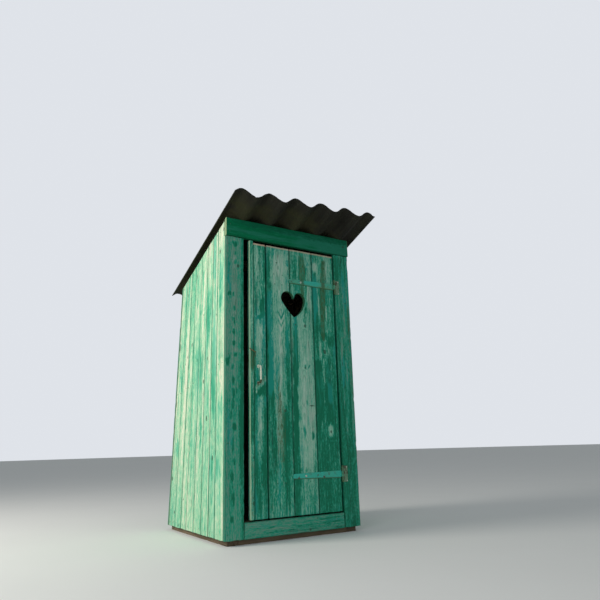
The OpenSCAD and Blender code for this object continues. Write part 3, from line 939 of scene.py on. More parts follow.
# How the boards that show best have worn. Places with less paint or more, moss or blue are
# (middle, height, half width, half height, amount, climb, slant), marks are V-shaped, as
# (middle, height, half width, amount), and spots are knots, as (middle, height, radius, flatness)
LEFT_WALL = (
    dict(
        worn=0.82,
        patches=(
            (-0.432, 2.0, 0.04, 0.1, 0.4), (-0.488, 1.4, 0.01, 0.9, 0.6),
            (-0.45, 1.95, 0.025, 0.12, 0.3), (-0.44, 1.67, 0.035, 0.11, -0.3, 1.2),
            (-0.43, 1.52, 0.034, 0.045, -0.6), (-0.44, 1.38, 0.03, 0.05, 0.2),
            (-0.44, 1.15, 0.06, 0.02, -0.3), (-0.455, 0.97, 0.045, 0.11, 0.35),
            (-0.45, 0.81, 0.05, 0.06, -0.3), (-0.395, 0.45, 0.025, 0.06, -0.8),
        ),
        moss=((-0.44, 1.15, 0.06, 0.016, 0.3), (-0.45, 1.0, 0.04, 0.12, 0.16)),
    ),
    dict(
        worn=0.6,
        patches=(
            (-0.362, 1.6, 0.011, 0.45, 0.6), (-0.32, 1.88, 0.03, 0.2, -0.6),
            (-0.315, 1.69, 0.024, 0.03, 0.55), (-0.325, 1.05, 0.033, 0.33, -0.75),
            (-0.298, 0.46, 0.03, 0.07, -0.8),
        ),
    ),
    dict(
        worn=0.72,
        patches=(
            (-0.23, 1.95, 0.045, 0.05, 0.35), (-0.237, 1.53, 0.05, 0.17, -0.5),
            (-0.22, 1.36, 0.03, 0.09, -0.4), (-0.235, 1.17, 0.018, 0.09, 0.45),
            (-0.268, 0.9, 0.01, 0.22, 0.4), (-0.24, 0.84, 0.012, 0.13, -0.6),
            (-0.215, 1.5, 0.015, 0.1, -0.4),
        ),
    ),
    dict(
        worn=0.72,
        patches=(
            (-0.144, 1.66, 0.015, 0.3, 0.5, 0.0, -0.133), (-0.106, 1.8, 0.018, 0.12, -0.35),
            (-0.136, 1.34, 0.04, 0.12, 0.3), (-0.09, 1.07, 0.028, 0.18, -0.55),
            (-0.15, 0.9, 0.022, 0.21, 0.45), (-0.1, 0.7, 0.02, 0.12, -0.3),
        ),
    ),
    dict(
        worn=0.7,
        patches=(
            (-0.056, 1.83, 0.018, 0.07, 0.4), (-0.046, 1.07, 0.028, 0.2, -0.55),
            (-0.062, 0.73, 0.02, 0.09, -0.6), (-0.02, 1.53, 0.025, 0.05, 0.4),
            (0.02, 1.4, 0.02, 0.2, 0.25), (-0.045, 0.6, 0.024, 0.22, -0.8), (0.02, 0.8, 0.02, 0.2, 0.3),
        ),
        moss=((-0.02, 1.75, 0.03, 0.03, 0.3),),
        spots=((0.0, 1.82, 0.008, 0.3),),
    ),
    dict(
        worn=0.8,
        patches=(
            (0.062, 0.98, 0.014, 0.4, -0.8), (0.11, 1.2, 0.015, 0.12, 0.3),
            (0.056, 0.65, 0.012, 0.16, -0.8),
        ),
    ),
    dict(
        worn=0.75,
        patches=((0.2, 1.1, 0.027, 0.6, 0.65, 0.0, -0.097), (0.13, 1.5, 0.01, 0.15, -0.5)),
        moss=((0.16, 1.74, 0.04, 0.04, 0.25),),
        spots=((0.17, 1.236, 0.008, 0.5), (0.184, 1.716, 0.007, 0.4)),
    ),
    dict(
        worn=0.75,
        patches=(
            (0.235, 1.5, 0.012, 0.2, -0.6), (0.28, 1.06, 0.02, 0.06, -0.6),
            (0.3, 1.1, 0.018, 0.12, -0.5, 0.0, 0.2), (0.35, 1.2, 0.02, 0.5, 0.3, 0.0, -0.105),
            (0.34, 0.57, 0.045, 0.07, -0.6),
        ),
        spots=((0.346, 1.336, 0.012, 0.3), (0.397, 0.91, 0.012, 0.4)),
    ),
)

# On the jambs, wide patches low down with more paint make the green deeper towards the bottom, as painted
# shade.
# The marks in the left board's V-shaped grain kept their dark paint
LEFT_JAMB = dict(
    worn=0.66, worn_spread=0.15, step_across=0.006, step_along=0.007, knot_count=1,
    patches=(
        (-0.445, 1.92, 0.02, 0.022, -0.9), (-0.437, 1.853, 0.008, 0.016, -0.8),
        (-0.438, 1.795, 0.009, 0.02, -0.8), (-0.477, 1.564, 0.014, 0.016, -0.8),
        (-0.449, 1.562, 0.009, 0.016, -0.8), (-0.444, 1.469, 0.008, 0.02, -0.8),
        (-0.446, 1.385, 0.011, 0.022, -0.9), (-0.449, 1.31, 0.012, 0.02, -0.9),
        (-0.449, 1.232, 0.012, 0.018, -0.9), (-0.441, 1.159, 0.013, 0.015, -0.9),
        (-0.453, 1.077, 0.008, 0.02, -0.8), (-0.45, 0.987, 0.009, 0.03, -0.8),
        (-0.45, 0.911, 0.01, 0.03, -0.7), (-0.452, 0.841, 0.009, 0.04, -0.7),
        (-0.461, 0.77, 0.008, 0.03, -0.6), (-0.443, 0.7, 0.012, 0.025, -0.7),
        (-0.452, 0.59, 0.008, 0.05, -0.6), (-0.439, 0.49, 0.009, 0.02, -0.7),
        (-0.455, 0.4, 0.011, 0.03, -0.6), (-0.446, 0.27, 0.008, 0.04, -0.6),
        (-0.458, 0.15, 0.01, 0.02, -0.7), (-0.448, 1.4, 0.02, 0.7, 0.18),
        (-0.49, 1.111, 0.014, 0.03, -0.9), (-0.489, 1.73, 0.012, 0.1, -0.3),
        (-0.388, 1.0, 0.012, 1.3, -0.55), (-0.396, 0.9, 0.02, 0.5, -0.3),
        (-0.416, 1.189, 0.03, 0.012, 0.25), (-0.46, 0.5, 0.08, 0.5, -0.22),
    ),
    blue=((-0.48, 1.72, 0.02, 0.12, 0.25), (-0.47, 0.8, 0.02, 0.3, 0.2)),
)

RIGHT_JAMB = dict(
    worn=0.3, worn_spread=0.15, step_across=0.006, step_along=0.007, knot_count=1,
    patches=(
        (0.418, 1.25, 0.009, 0.09, 0.55), (0.445, 1.42, 0.012, 0.1, 0.35),
        (0.453, 1.06, 0.005, 0.1, 0.5), (0.419, 0.87, 0.01, 0.06, 0.45), (0.43, 0.68, 0.009, 0.09, 0.5),
        (0.486, 1.0, 0.014, 0.8, 0.35), (0.395, 1.5, 0.01, 0.6, -0.2), (0.41, 1.85, 0.03, 0.1, -0.4),
        (0.43, 0.5, 0.08, 0.6, -0.3),
    ),
    blue=((0.455, 1.7, 0.02, 0.15, 0.35), (0.417, 1.09, 0.014, 0.11, 0.6), (0.499, 1.6, 0.008, 0.5, 0.5)),
    moss=((0.484, 1.45, 0.01, 0.12, 0.5), (0.489, 1.2, 0.006, 0.5, 0.4)),
)

# On the door boards, wide patches low down with more paint make the green deeper towards the bottom, as
# painted shade.
DOOR_BOARDS = (
    dict(
        worn=0.46,
        patches=(
            (-0.284, 1.8, 0.014, 0.14, 0.3), (-0.262, 1.3, 0.026, 0.09, 0.5),
            (-0.262, 1.15, 0.014, 0.12, 0.35), (-0.246, 1.43, 0.035, 0.014, -0.8, 0.5),
            (-0.236, 1.72, 0.022, 0.3, -0.12), (-0.265, 1.72, 0.035, 0.24, 0.15),
            (-0.24, 1.5, 0.02, 0.06, -0.5), (-0.283, 0.911, 0.008, 0.014, 0.9),
            (-0.25, 0.975, 0.045, 0.02, 0.4, 0.8), (-0.259, 0.917, 0.045, 0.02, -1.0, 0.97),
            (-0.232, 0.93, 0.02, 0.04, -0.5), (-0.25, 0.8, 0.02, 0.14, 0.35),
            (-0.252, 0.64, 0.03, 0.2, 0.3), (-0.232, 0.6, 0.02, 0.3, -0.5), (-0.3, 0.7, 0.02, 0.5, -0.3),
            (-0.262, 0.35, 0.06, 0.2, -0.25),
        ),
        blue=(
            (-0.26, 1.75, 0.05, 0.3, -0.15), (-0.25, 0.78, 0.03, 0.1, 0.15),
            (-0.25, 0.92, 0.05, 0.035, -0.5), (-0.23, 0.5, 0.03, 0.3, -0.3),
        ),
        moss=((-0.3, 1.13, 0.014, 0.07, 0.5), (-0.25, 0.985, 0.04, 0.02, 0.45, 0.8)),
        spots=((-0.255, 0.985, 0.006),),
    ),
    dict(
        worn=0.5,
        patches=(
            (-0.1, 1.75, 0.075, 0.2, 0.4), (-0.095, 1.81, 0.06, 0.1, 0.4),
            (-0.105, 1.35, 0.05, 0.2, 0.35), (-0.098, 1.12, 0.012, 0.2, 0.5),
            (-0.105, 0.9, 0.01, 0.16, 0.5), (-0.035, 1.84, 0.012, 0.03, -0.5),
            (-0.186, 1.35, 0.02, 0.55, -0.4), (-0.173, 1.08, 0.022, 0.22, -0.4),
            (-0.17, 0.72, 0.03, 0.25, -0.42), (-0.041, 1.1, 0.018, 0.3, -0.6),
            (-0.066, 0.69, 0.025, 0.12, -0.5), (-0.06, 0.5, 0.04, 0.3, -0.3),
            (-0.12, 0.35, 0.09, 0.25, -0.3), (-0.105, 0.68, 0.032, 0.22, 0.55),
        ),
        marks=(
            (-0.09, 1.428, 0.03, -1.3), (-0.09, 1.4, 0.03, 0.7), (-0.091, 1.374, 0.03, -0.8),
            (-0.091, 1.346, 0.026, 0.6), (-0.092, 1.31, 0.028, -0.45), (-0.095, 1.24, 0.024, -0.35),
        ),
        blue=(
            (-0.184, 1.5, 0.022, 0.15, 0.35), (-0.173, 1.1, 0.022, 0.22, 0.3),
            (-0.06, 0.65, 0.05, 0.4, -0.6), (-0.17, 0.6, 0.04, 0.35, -0.4),
        ),
        moss=(
            (-0.118, 1.18, 0.012, 0.12, 0.3), (-0.114, 0.92, 0.016, 0.14, 0.4),
            (-0.1, 0.66, 0.036, 0.24, 0.55),
        ),
        spots=((-0.12, 1.83, 0.006), (-0.07, 0.8, 0.008)),
    ),
    dict(
        worn=0.46,
        patches=(
            (0.13, 0.785, 0.035, 0.045, 0.35), (0.014, 1.8, 0.02, 0.12, -0.1),
            (0.052, 1.83, 0.008, 0.1, 0.5), (0.12, 1.9, 0.012, 0.06, 0.4),
            (0.148, 1.75, 0.02, 0.25, 0.3), (0.142, 1.62, 0.016, 0.09, 0.45),
            (0.105, 1.33, 0.065, 0.16, 0.3), (0.104, 0.82, 0.068, 0.44, 0.5, 0.0, 0.02),
            (0.016, 1.0, 0.02, 0.45, -0.8, 0.0, 0.02), (0.012, 0.4, 0.026, 0.35, -0.5),
            (0.096, 1.098, 0.01, 0.014, -0.8), (0.128, 1.106, 0.012, 0.007, -0.8, 1.2),
            (0.104, 0.85, 0.007, 0.02, -0.7), (0.107, 0.77, 0.005, 0.06, -0.6),
            (0.075, 0.665, 0.01, 0.05, -0.8), (0.141, 0.64, 0.012, 0.03, -0.8),
            (0.113, 1.52, 0.012, 0.012, -0.5), (0.104, 1.45, 0.004, 0.06, -0.9),
        ),
        blue=(
            (0.02, 1.85, 0.03, 0.15, -0.1), (0.107, 0.77, 0.01, 0.06, 0.4),
            (0.012, 0.65, 0.03, 0.45, -0.6),
        ),
        moss=((0.088, 1.81, 0.032, 0.12, 0.72), (0.089, 1.66, 0.017, 0.07, 0.75)),
        spots=(
            (0.025, 1.394, 0.006), (0.104, 1.392, 0.01), (0.096, 1.094, 0.007),
            (0.14, 0.836, 0.034, 7.5),
        ),
    ),
    dict(
        worn=0.27,
        patches=(
            (0.27, 1.82, 0.1, 0.13, 0.25), (0.198, 1.85, 0.018, 0.03, 0.8),
            (0.204, 1.82, 0.02, 0.02, 0.5), (0.208, 1.765, 0.011, 0.045, -0.7),
            (0.299, 1.83, 0.006, 0.07, 0.6), (0.228, 1.53, 0.005, 0.09, 0.7),
            (0.291, 1.49, 0.006, 0.06, 0.6), (0.228, 1.24, 0.01, 0.09, 0.6),
            (0.296, 1.214, 0.009, 0.03, 0.5), (0.198, 1.55, 0.018, 0.3, -0.3),
            (0.202, 1.118, 0.03, 0.04, -1.2), (0.318, 1.29, 0.03, 0.04, -0.5),
            (0.265, 1.33, 0.03, 0.03, -0.4), (0.252, 1.07, 0.008, 0.1, 0.65),
            (0.22, 0.7, 0.005, 0.05, 0.6), (0.292, 0.9, 0.02, 0.1, -0.4),
            (0.292, 0.66, 0.024, 0.042, 1.0), (0.27, 0.6, 0.1, 0.6, -0.3), (0.2, 0.9, 0.03, 0.25, -0.4),
        ),
        blue=(
            (0.2, 1.6, 0.02, 0.14, 0.45), (0.2, 1.0, 0.03, 0.08, 0.05), (0.292, 0.9, 0.02, 0.08, 0.2),
            (0.27, 0.5, 0.09, 0.3, -0.3),
        ),
        moss=(
            (0.268, 1.66, 0.028, 0.25, 0.8, 0.0, 0.06), (0.276, 1.87, 0.017, 0.04, 1.0),
            (0.264, 1.5, 0.014, 0.04, 0.8), (0.254, 1.38, 0.018, 0.09, 0.8),
        ),
        spots=((0.279, 1.885, 0.01), (0.25, 1.476, 0.011), (0.263, 1.217, 0.013), (0.292, 0.66, 0.009)),
    ),
)


# Ironwork meshes

PIN_RADIUS = 0.0035
KNUCKLE_RADIUS = 0.007
HALF_KNUCKLE = 0.017
HALF_PLATE = 0.053
STRAP_THICKNESS = 0.0038
PLATE_THICKNESS = 0.0029


def tube(path, radii, sides):
    """A round bar along a path, closed at both ends."""
    path = np.asarray(path, float)
    tangents = np.gradient(path, axis=0)
    tangents /= np.linalg.norm(tangents, axis=1)[:, None]
    normal = np.cross(tangents[0], (0.31, 0.83, 0.47))
    normal /= np.linalg.norm(normal)
    points = []
    for p, d, r in zip(path, tangents, radii):
        normal = normal - d * (normal @ d)
        normal /= np.linalg.norm(normal)
        other = np.cross(d, normal)
        for k in range(sides):
            t = 2 * math.pi * k / sides
            points.append(p + r * (math.cos(t) * normal + math.sin(t) * other))
    return np.array(points), closed_rings(len(path), sides)


def turned(profile, centre, axis, sides=20, wobble=0.0, seed=1):
    """A turned piece: a profile of (radius, height) around an axis, closed at both ends."""
    axis = Vector(axis).normalized()
    aside = axis.orthogonal().normalized()
    other = axis.cross(aside)
    shift = 1 + wobble * (np.random.default_rng(seed).random(sides) - 0.5)
    points = []
    for radius, height in profile:
        for k in range(sides):
            t = 2 * math.pi * k / sides
            way = aside * math.cos(t) + other * math.sin(t)
            points.append(tuple(Vector(centre) + axis * height + way * (radius * shift[k])))
    return np.array(points), closed_rings(len(profile), sides)


def knuckle(low, high, centre):
    """A hollow barrel that turns on the pin, open at both ends."""
    inner, outer = PIN_RADIUS + 0.0001, KNUCKLE_RADIUS - 0.001
    profile = [(inner, low + 0.0003), (outer, low), (KNUCKLE_RADIUS, low + 0.001)]
    profile += [(KNUCKLE_RADIUS, high - 0.001), (outer, high), (inner, high - 0.0003)]
    n = 32
    points, faces = turned(profile, centre, Z_AXIS, n)
    last = (len(profile) - 1) * n
    return points, faces[:-2] + [[last + k, last + (k + 1) % n, (k + 1) % n, k] for k in range(n)]


def head_profile(radius, rise):
    """A flat domed head, from just under the surface to its top."""
    parts = ((0.96, 0.5), (0.75, 0.86), (0.35, 1.0))
    return [(radius * 0.95, -0.0012), (radius, 0.0003)] + [(radius * r, rise * h) for r, h in parts]


def screw_head(pile, centre, radius, rise, finish, turn=None, wear=0.0):
    """A domed head, with a turned slot for the driver where asked."""
    points, faces = turned(head_profile(radius, rise), centre, FORWARD)
    if turn is not None:
        axis = Vector(FORWARD)
        aside = axis.orthogonal().normalized()
        aside.rotate(Matrix.Rotation(turn, 3, axis))
        other = axis.cross(aside)
        middle = Vector(centre) + axis * rise
        corners = []
        for i, j, k in product((-1, 1), repeat=3):
            corner = middle + aside * (radius * 1.3 * i) + other * (radius * 0.13 * j)
            corners.append(tuple(corner + axis * (rise * 0.4 * k)))
        box = [[0, 1, 3, 2], [4, 6, 7, 5], [0, 4, 5, 1], [2, 3, 7, 6], [0, 2, 6, 4], [1, 5, 7, 3]]
        points, faces = cut_with(points, faces, corners, box)
    pile.add(points, faces, finish, wear=wear)


def plate_mesh(outline, back, thickness, bevel, cuts=(), rows=()):
    """A flat plate with eased edges on a board's face: an outline of (x, z) points."""
    bm = bmesh.new()
    face = bm.faces.new([bm.verts.new((x, back - 0.0001, z)) for x, z in outline])
    if face.normal.y < 0:
        face.normal_flip()
    made = bmesh.ops.extrude_face_region(bm, geom=[face])
    front = [v for v in made["geom"] if isinstance(v, bmesh.types.BMVert)]
    bmesh.ops.translate(bm, vec=(0, -thickness, 0), verts=front)
    bmesh.ops.recalc_face_normals(bm, faces=bm.faces)
    sharp = [e for e in bm.edges if e.calc_face_angle(0) > 0.6]
    bmesh.ops.bevel(bm, geom=sharp, offset=bevel, segments=2, affect="EDGES", profile=0.6)
    bmesh.ops.recalc_face_normals(bm, faces=bm.faces)
    planes = [((x, 0, 0), X_AXIS) for x in cuts] + [((0, 0, z), Z_AXIS) for z in rows]
    for place, normal in planes:
        everything = bm.verts[:] + bm.edges[:] + bm.faces[:]
        bmesh.ops.bisect_plane(bm, geom=everything, plane_co=place, plane_no=normal)
    bm.verts.index_update()
    points = np.array([tuple(v.co) for v in bm.verts])
    faces = [[v.index for v in f.verts] for f in bm.faces]
    bm.free()
    return points, faces


# Operators, one for each piece or group of like pieces


def laid_boards(slab, cuts, first_seed, special=(), **facts):
    """A wall of boards between the given fractions of a slab's width."""
    pile = Pile()
    for k, (low, high) in enumerate(zip(cuts, cuts[1:])):
        own = special[k] if special else {}
        lay_board(pile, slab, new_board(first_seed + 10 * k, **{**facts, **own}), low, high)
    return pile


def lone_board(name, body, slot, material, node, along, across, own):
    """A piece that is one board."""
    pile = Pile()
    lay_board(pile, Slab(node, along, across, Y_AXIS), own)
    pile.piece(name, body, slot, [material], [node])


class OUTHOUSE_OT_side_walls(bpy.types.Operator):
    """Lays the upright boards of the left and the right wall"""

    bl_idname = "outhouse.side_walls"
    bl_label = "Side walls"

    def execute(self, context):
        facts = dict(seam=sizes().wall_seam, worn=0.65, worn_spread=0.35, plane=(1, 2))
        for node, cuts, inward, seed, special in (
            ("left_wall", LEFT_SEAMS, X_AXIS, 100, LEFT_WALL),
            ("right_wall", RIGHT_SEAMS, (-1, 0, 0), 140, ()),
        ):
            slab = Slab(node, Z_AXIS, Y_AXIS, inward)
            pile = laid_boards(slab, cuts, seed, special, **facts)
            pile.piece(f"{node}_boards", "building", "side_paint", [side_paint()], [node])
        return {"FINISHED"}


class OUTHOUSE_OT_rear_wall(bpy.types.Operator):
    """Lays the upright boards of the leaning rear wall"""

    bl_idname = "outhouse.rear_wall"
    bl_label = "Rear wall"

    def execute(self, context):
        slab = Slab("rear_wall", Z_AXIS, X_AXIS, FORWARD)
        facts = dict(seam=sizes().wall_seam, worn=0.42, worn_spread=0.5)
        pile = laid_boards(slab, REAR_SEAMS, 300, **facts)
        pile.piece("rear_wall_boards", "building", "side_paint", [side_paint()], ["rear_wall"])
        return {"FINISHED"}


class OUTHOUSE_OT_front_boards(bpy.types.Operator):
    """Lays the two upright boards beside the doorway and the board under it"""

    bl_idname = "outhouse.front_boards"
    bl_label = "Front boards"

    def execute(self, context):
        streaks = dict(streak_width=0.024, streak_length=0.5, contrast=0.8)
        grain = dict(ring_width=0.006, rise=0.03, heart_depth=0.015)
        colours = dict(washed=(0.17, 0.36, 0.27), bare=(0.28, 0.42, 0.34))
        material = painted_wood("front_paint", **colours, **streaks, **grain)
        for name, node, seed, facts, along, across in (
            ("left_jamb_board", "left_front_board", 411, LEFT_JAMB, Z_AXIS, X_AXIS),
            ("right_jamb_board", "right_front_board", 433, RIGHT_JAMB, Z_AXIS, X_AXIS),
            ("threshold", "threshold_board", 455, dict(worn=0.5), X_AXIS, Z_AXIS),
        ):
            own = new_board(seed, seam=0.001, **facts)
            lone_board(name, "building", "front_paint", material, node, along, across, own)
        return {"FINISHED"}


class OUTHOUSE_OT_header(bpy.types.Operator):
    """Lays the freshly painted board over the doorway"""

    bl_idname = "outhouse.header"
    bl_label = "Header board"

    def execute(self, context):
        material = painted_wood(
            "header_paint",
            shine=0.08,
            deep_paint=(0.001, 0.15, 0.062),
            paint=(0.002, 0.215, 0.09),
            sea_paint=(0.02, 0.22, 0.14),
            washed=(0.03, 0.26, 0.15),
            bare=(0.08, 0.3, 0.2),
            raw_wood=(0.5, 0.68, 0.38),
            # This moss colour is the darker green of the painted shade under the roof.
            moss_colour=(0.003, 0.12, 0.058),
            contrast=0.35,
            mottle=0.6,
            streak_width=0.02,
            streak_length=0.6,
        )
        wear = dict(worn=0.05, worn_spread=0.1, seam=0.001, chip=0.001, ends=0.001)
        # The moss patch along the header's top is painted shade under the roof's overhang, in the darker
        # green moss colour above.
        tint_and_roof_shade = dict(blue=[(0.45, 2.0, 0.2, 0.08, 0.4)], moss=[(0.1, 2.105, 0.62, 0.055, 1.0)])
        facts = dict(step_across=0.008, raw_ends=True, raw_depth=0.6, knot_count=1)
        own = new_board(477, step_along=0.01, **wear, **tint_and_roof_shade, **facts)
        place = "header_board", X_AXIS, Z_AXIS
        lone_board("header", "building", "header_paint", material, *place, own)
        return {"FINISHED"}


class OUTHOUSE_OT_timber_frame(bpy.types.Operator):
    """Lays the sills, posts, rails and rafters"""

    bl_idname = "outhouse.timber_frame"
    bl_label = "Timber frame"

    def execute(self, context):
        ways = {
            "upright": (Z_AXIS, X_AXIS, Y_AXIS),
            "sideways": (X_AXIS, Y_AXIS, Z_AXIS),
            "back": (Y_AXIS, X_AXIS, Z_AXIS),
        }
        facts = dict(SAWN, ends=0.0005, chip=0.003, step_along=0.02)
        seed = 500
        for name, groups in TIMBERS.items():
            pile = Pile()
            nodes = []
            for way, group in groups:
                for node in group.split():
                    seed += 13
                    lay_board(pile, Slab(node, *ways[way]), new_board(seed, **facts))
                    nodes.append(node)
            pile.piece(name, "building", "frame_timber", [frame_wood()], nodes)
        return {"FINISHED"}


class OUTHOUSE_OT_floor_boards(bpy.types.Operator):
    """Lays the floor boards"""

    bl_idname = "outhouse.floor_boards"
    bl_label = "Floor boards"

    def execute(self, context):
        material = bare_wood("floor_wood", (0.34, 0.26, 0.17), (0.14, 0.1, 0.06))
        slab = Slab("floor", X_AXIS, Y_AXIS, (0, 0, -1))
        pile = laid_boards(slab, FLOOR_SEAMS, 700, painted=False, seam=0.004, lift=0.0005)
        pile.piece("floor_planks", "building", "floor_boards", [material], ["floor"])
        return {"FINISHED"}


class OUTHOUSE_OT_roof_sheet(bpy.types.Operator):
    """Makes the corrugated sheet and the nails that hold it"""

    bl_idname = "outhouse.roof_sheet"
    bl_label = "Roof sheet"

    def execute(self, context):
        pitch, thick = sizes().roof_pitch, sizes().sheet_thickness
        cos, sin = math.cos(pitch), math.sin(pitch)
        packed = packed_points("roof_sheet")
        down = packed[:, 1] * cos - packed[:, 2] * sin
        high = packed[:, 1] * sin + packed[:, 2] * cos
        x_low, x_high = packed[:, 0].min(), packed[:, 0].max()
        middle = (x_low + x_high) / 2
        base = high.min()
        wave = high.max() - base - thick
        rear = down.max()
        front_end = down < rear - 0.6
        skew, front = np.polyfit(packed[front_end, 0], down[front_end], 1)
        turn = 2 * math.pi / sizes().wave_pitch

        def in_frame(x, s, h):
            """A place across, down and above the roof's slope, as the frame has it."""
            return x, s * cos + h * sin, -s * sin + h * cos

        # Both ends are a little ragged, and their rims are rounded in three steps
        columns, rows = 132, 84
        sides = np.linspace(x_low + 0.001, x_high - 0.001, columns)
        ragged = drift(sides, 81, 0.02) * 0.003 + drift(sides, 82, 0.006) * 0.0015
        nick = step_up(drift(sides, 83, 0.03), 0.8, 1.0) * 0.008
        start = front + skew * sides + ragged + nick
        stop = rear - drift(sides, 84, 0.02) * 0.004
        slope = wave / 2 * turn * np.sin(turn * (sides - middle))
        lean = np.sqrt(1 + slope**2)
        normal_x, normal_h = -slope / lean, 1 / lean
        under = base + wave / 2 * (1 - np.cos(turn * (sides - middle)))
        rim = [(0.0, 0.35, 0.65), (0.0006, 0.12, 0.88), (0.002, 0.0, 1.0)]
        stations = [(start + a, a, low, high) for a, low, high in rim]
        for part in np.linspace(0.005, 0.995, rows):
            stations.append((start + (stop - start) * part, part, 0.0, 1.0))
        stations += [(stop - a, a, low, high) for a, low, high in reversed(rim)]
        points, lay, wear = [], [], []
        for layer, (s, a, low, high) in product((0, 1), stations):
            lump = (patchwork(sides, s, 85 + layer, 0.05, 0.08) - 0.5) * 0.0008
            level = thick * (high if layer else low) + lump * (1.0 if a else 0.3)
            # The side ends are sawn upright, so the upper skin stops over the lower one
            pushed = sides + level * normal_x
            x = np.clip(pushed, x_low + 0.0004, x_high - 0.0004)
            h = under + level * normal_h + slope * (x - pushed)
            near = np.minimum(s - start, stop - s)
            near = np.minimum(near, np.minimum(sides - x_low, x_high - sides))
            points.append(np.column_stack(in_frame(x, s, h)))
            lay.append(np.column_stack([x, s, h]))
            wear.append(np.column_stack([near * 0 + layer, np.exp(-near / 0.01), near * 0]))
        faces = []
        count = len(stations)
        size = columns * count
        for j, i in product(range(count - 1), range(columns - 1)):
            a = j * columns + i
            quad = [a, a + 1, a + columns + 1, a + columns]
            faces += [quad[::-1], [size + k for k in quad]]
        for a in range(0, size - columns, columns):
            b = a + columns - 1
            faces.append([size + a, size + a + columns, a + columns, a])
            faces.append([b, b + columns, size + b + columns, size + b])
        for i in range(columns - 1):
            c = (count - 1) * columns + i
            faces += [[i, i + 1, size + i + 1, size + i], [size + c, size + c + 1, c + 1, c]]
        pile = Pile()
        values = dict(lay=np.concatenate(lay), wear=np.concatenate(wear))
        pile.add(np.concatenate(points), faces, **values)
        facts = dict(materials=[fibre_cement()], nodes=["roof_sheet"], sharp=50)
        pile.piece("corrugated_sheet", "building", "roof_sheet", **facts)

        nails = Pile()
        up = (0.0, sin, cos)
        washer = [(0.0125, -0.0015), (0.014, 0.0), (0.0135, 0.0018), (0.009, 0.0032)]
        washer.append((0.0065, 0.0035))
        h = base + wave + thick
        for node in ("front_top_rail", "middle_purlin", "rear_top_rail"):
            low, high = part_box(node)
            for crest in (-2.5, -1.5, 0.5, 2.5):
                x = middle + crest * sizes().wave_pitch
                centre = in_frame(x, ((low.y + high.y) / 2 - h * sin) / cos, h)
                nails.add(*turned(washer, centre, up, 24, 0.05, int(700 + x * 1000)))
                head = Vector(centre) + Vector(up) * 0.0034
                nails.add(*turned(head_profile(0.006, 0.003), head, up, 16))
        nails.piece("roof_nails", "building", "rusty_iron", [plain_iron()])
        return {"FINISHED"}


def heart_outline():
    """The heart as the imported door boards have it: (x, z) points around its edge."""
    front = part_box("door_board_2")[0].y
    points = []
    for node in ("door_board_2", "door_board_3"):
        low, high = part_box(node)
        co = np.unique(np.round(packed_points(node), 6), axis=0)
        inside = (co[:, 2] > low.z + 0.01) & (co[:, 2] < high.z - 0.01)
        points.append(co[inside & (np.abs(co[:, 1] - front) < 1e-4)][:, (0, 2)])
    points = np.concatenate(points)
    x, z = points.mean(0)[0], points[:, 1].max() - 0.06
    return points[np.argsort(np.arctan2(points[:, 1] - z, points[:, 0] - x))]


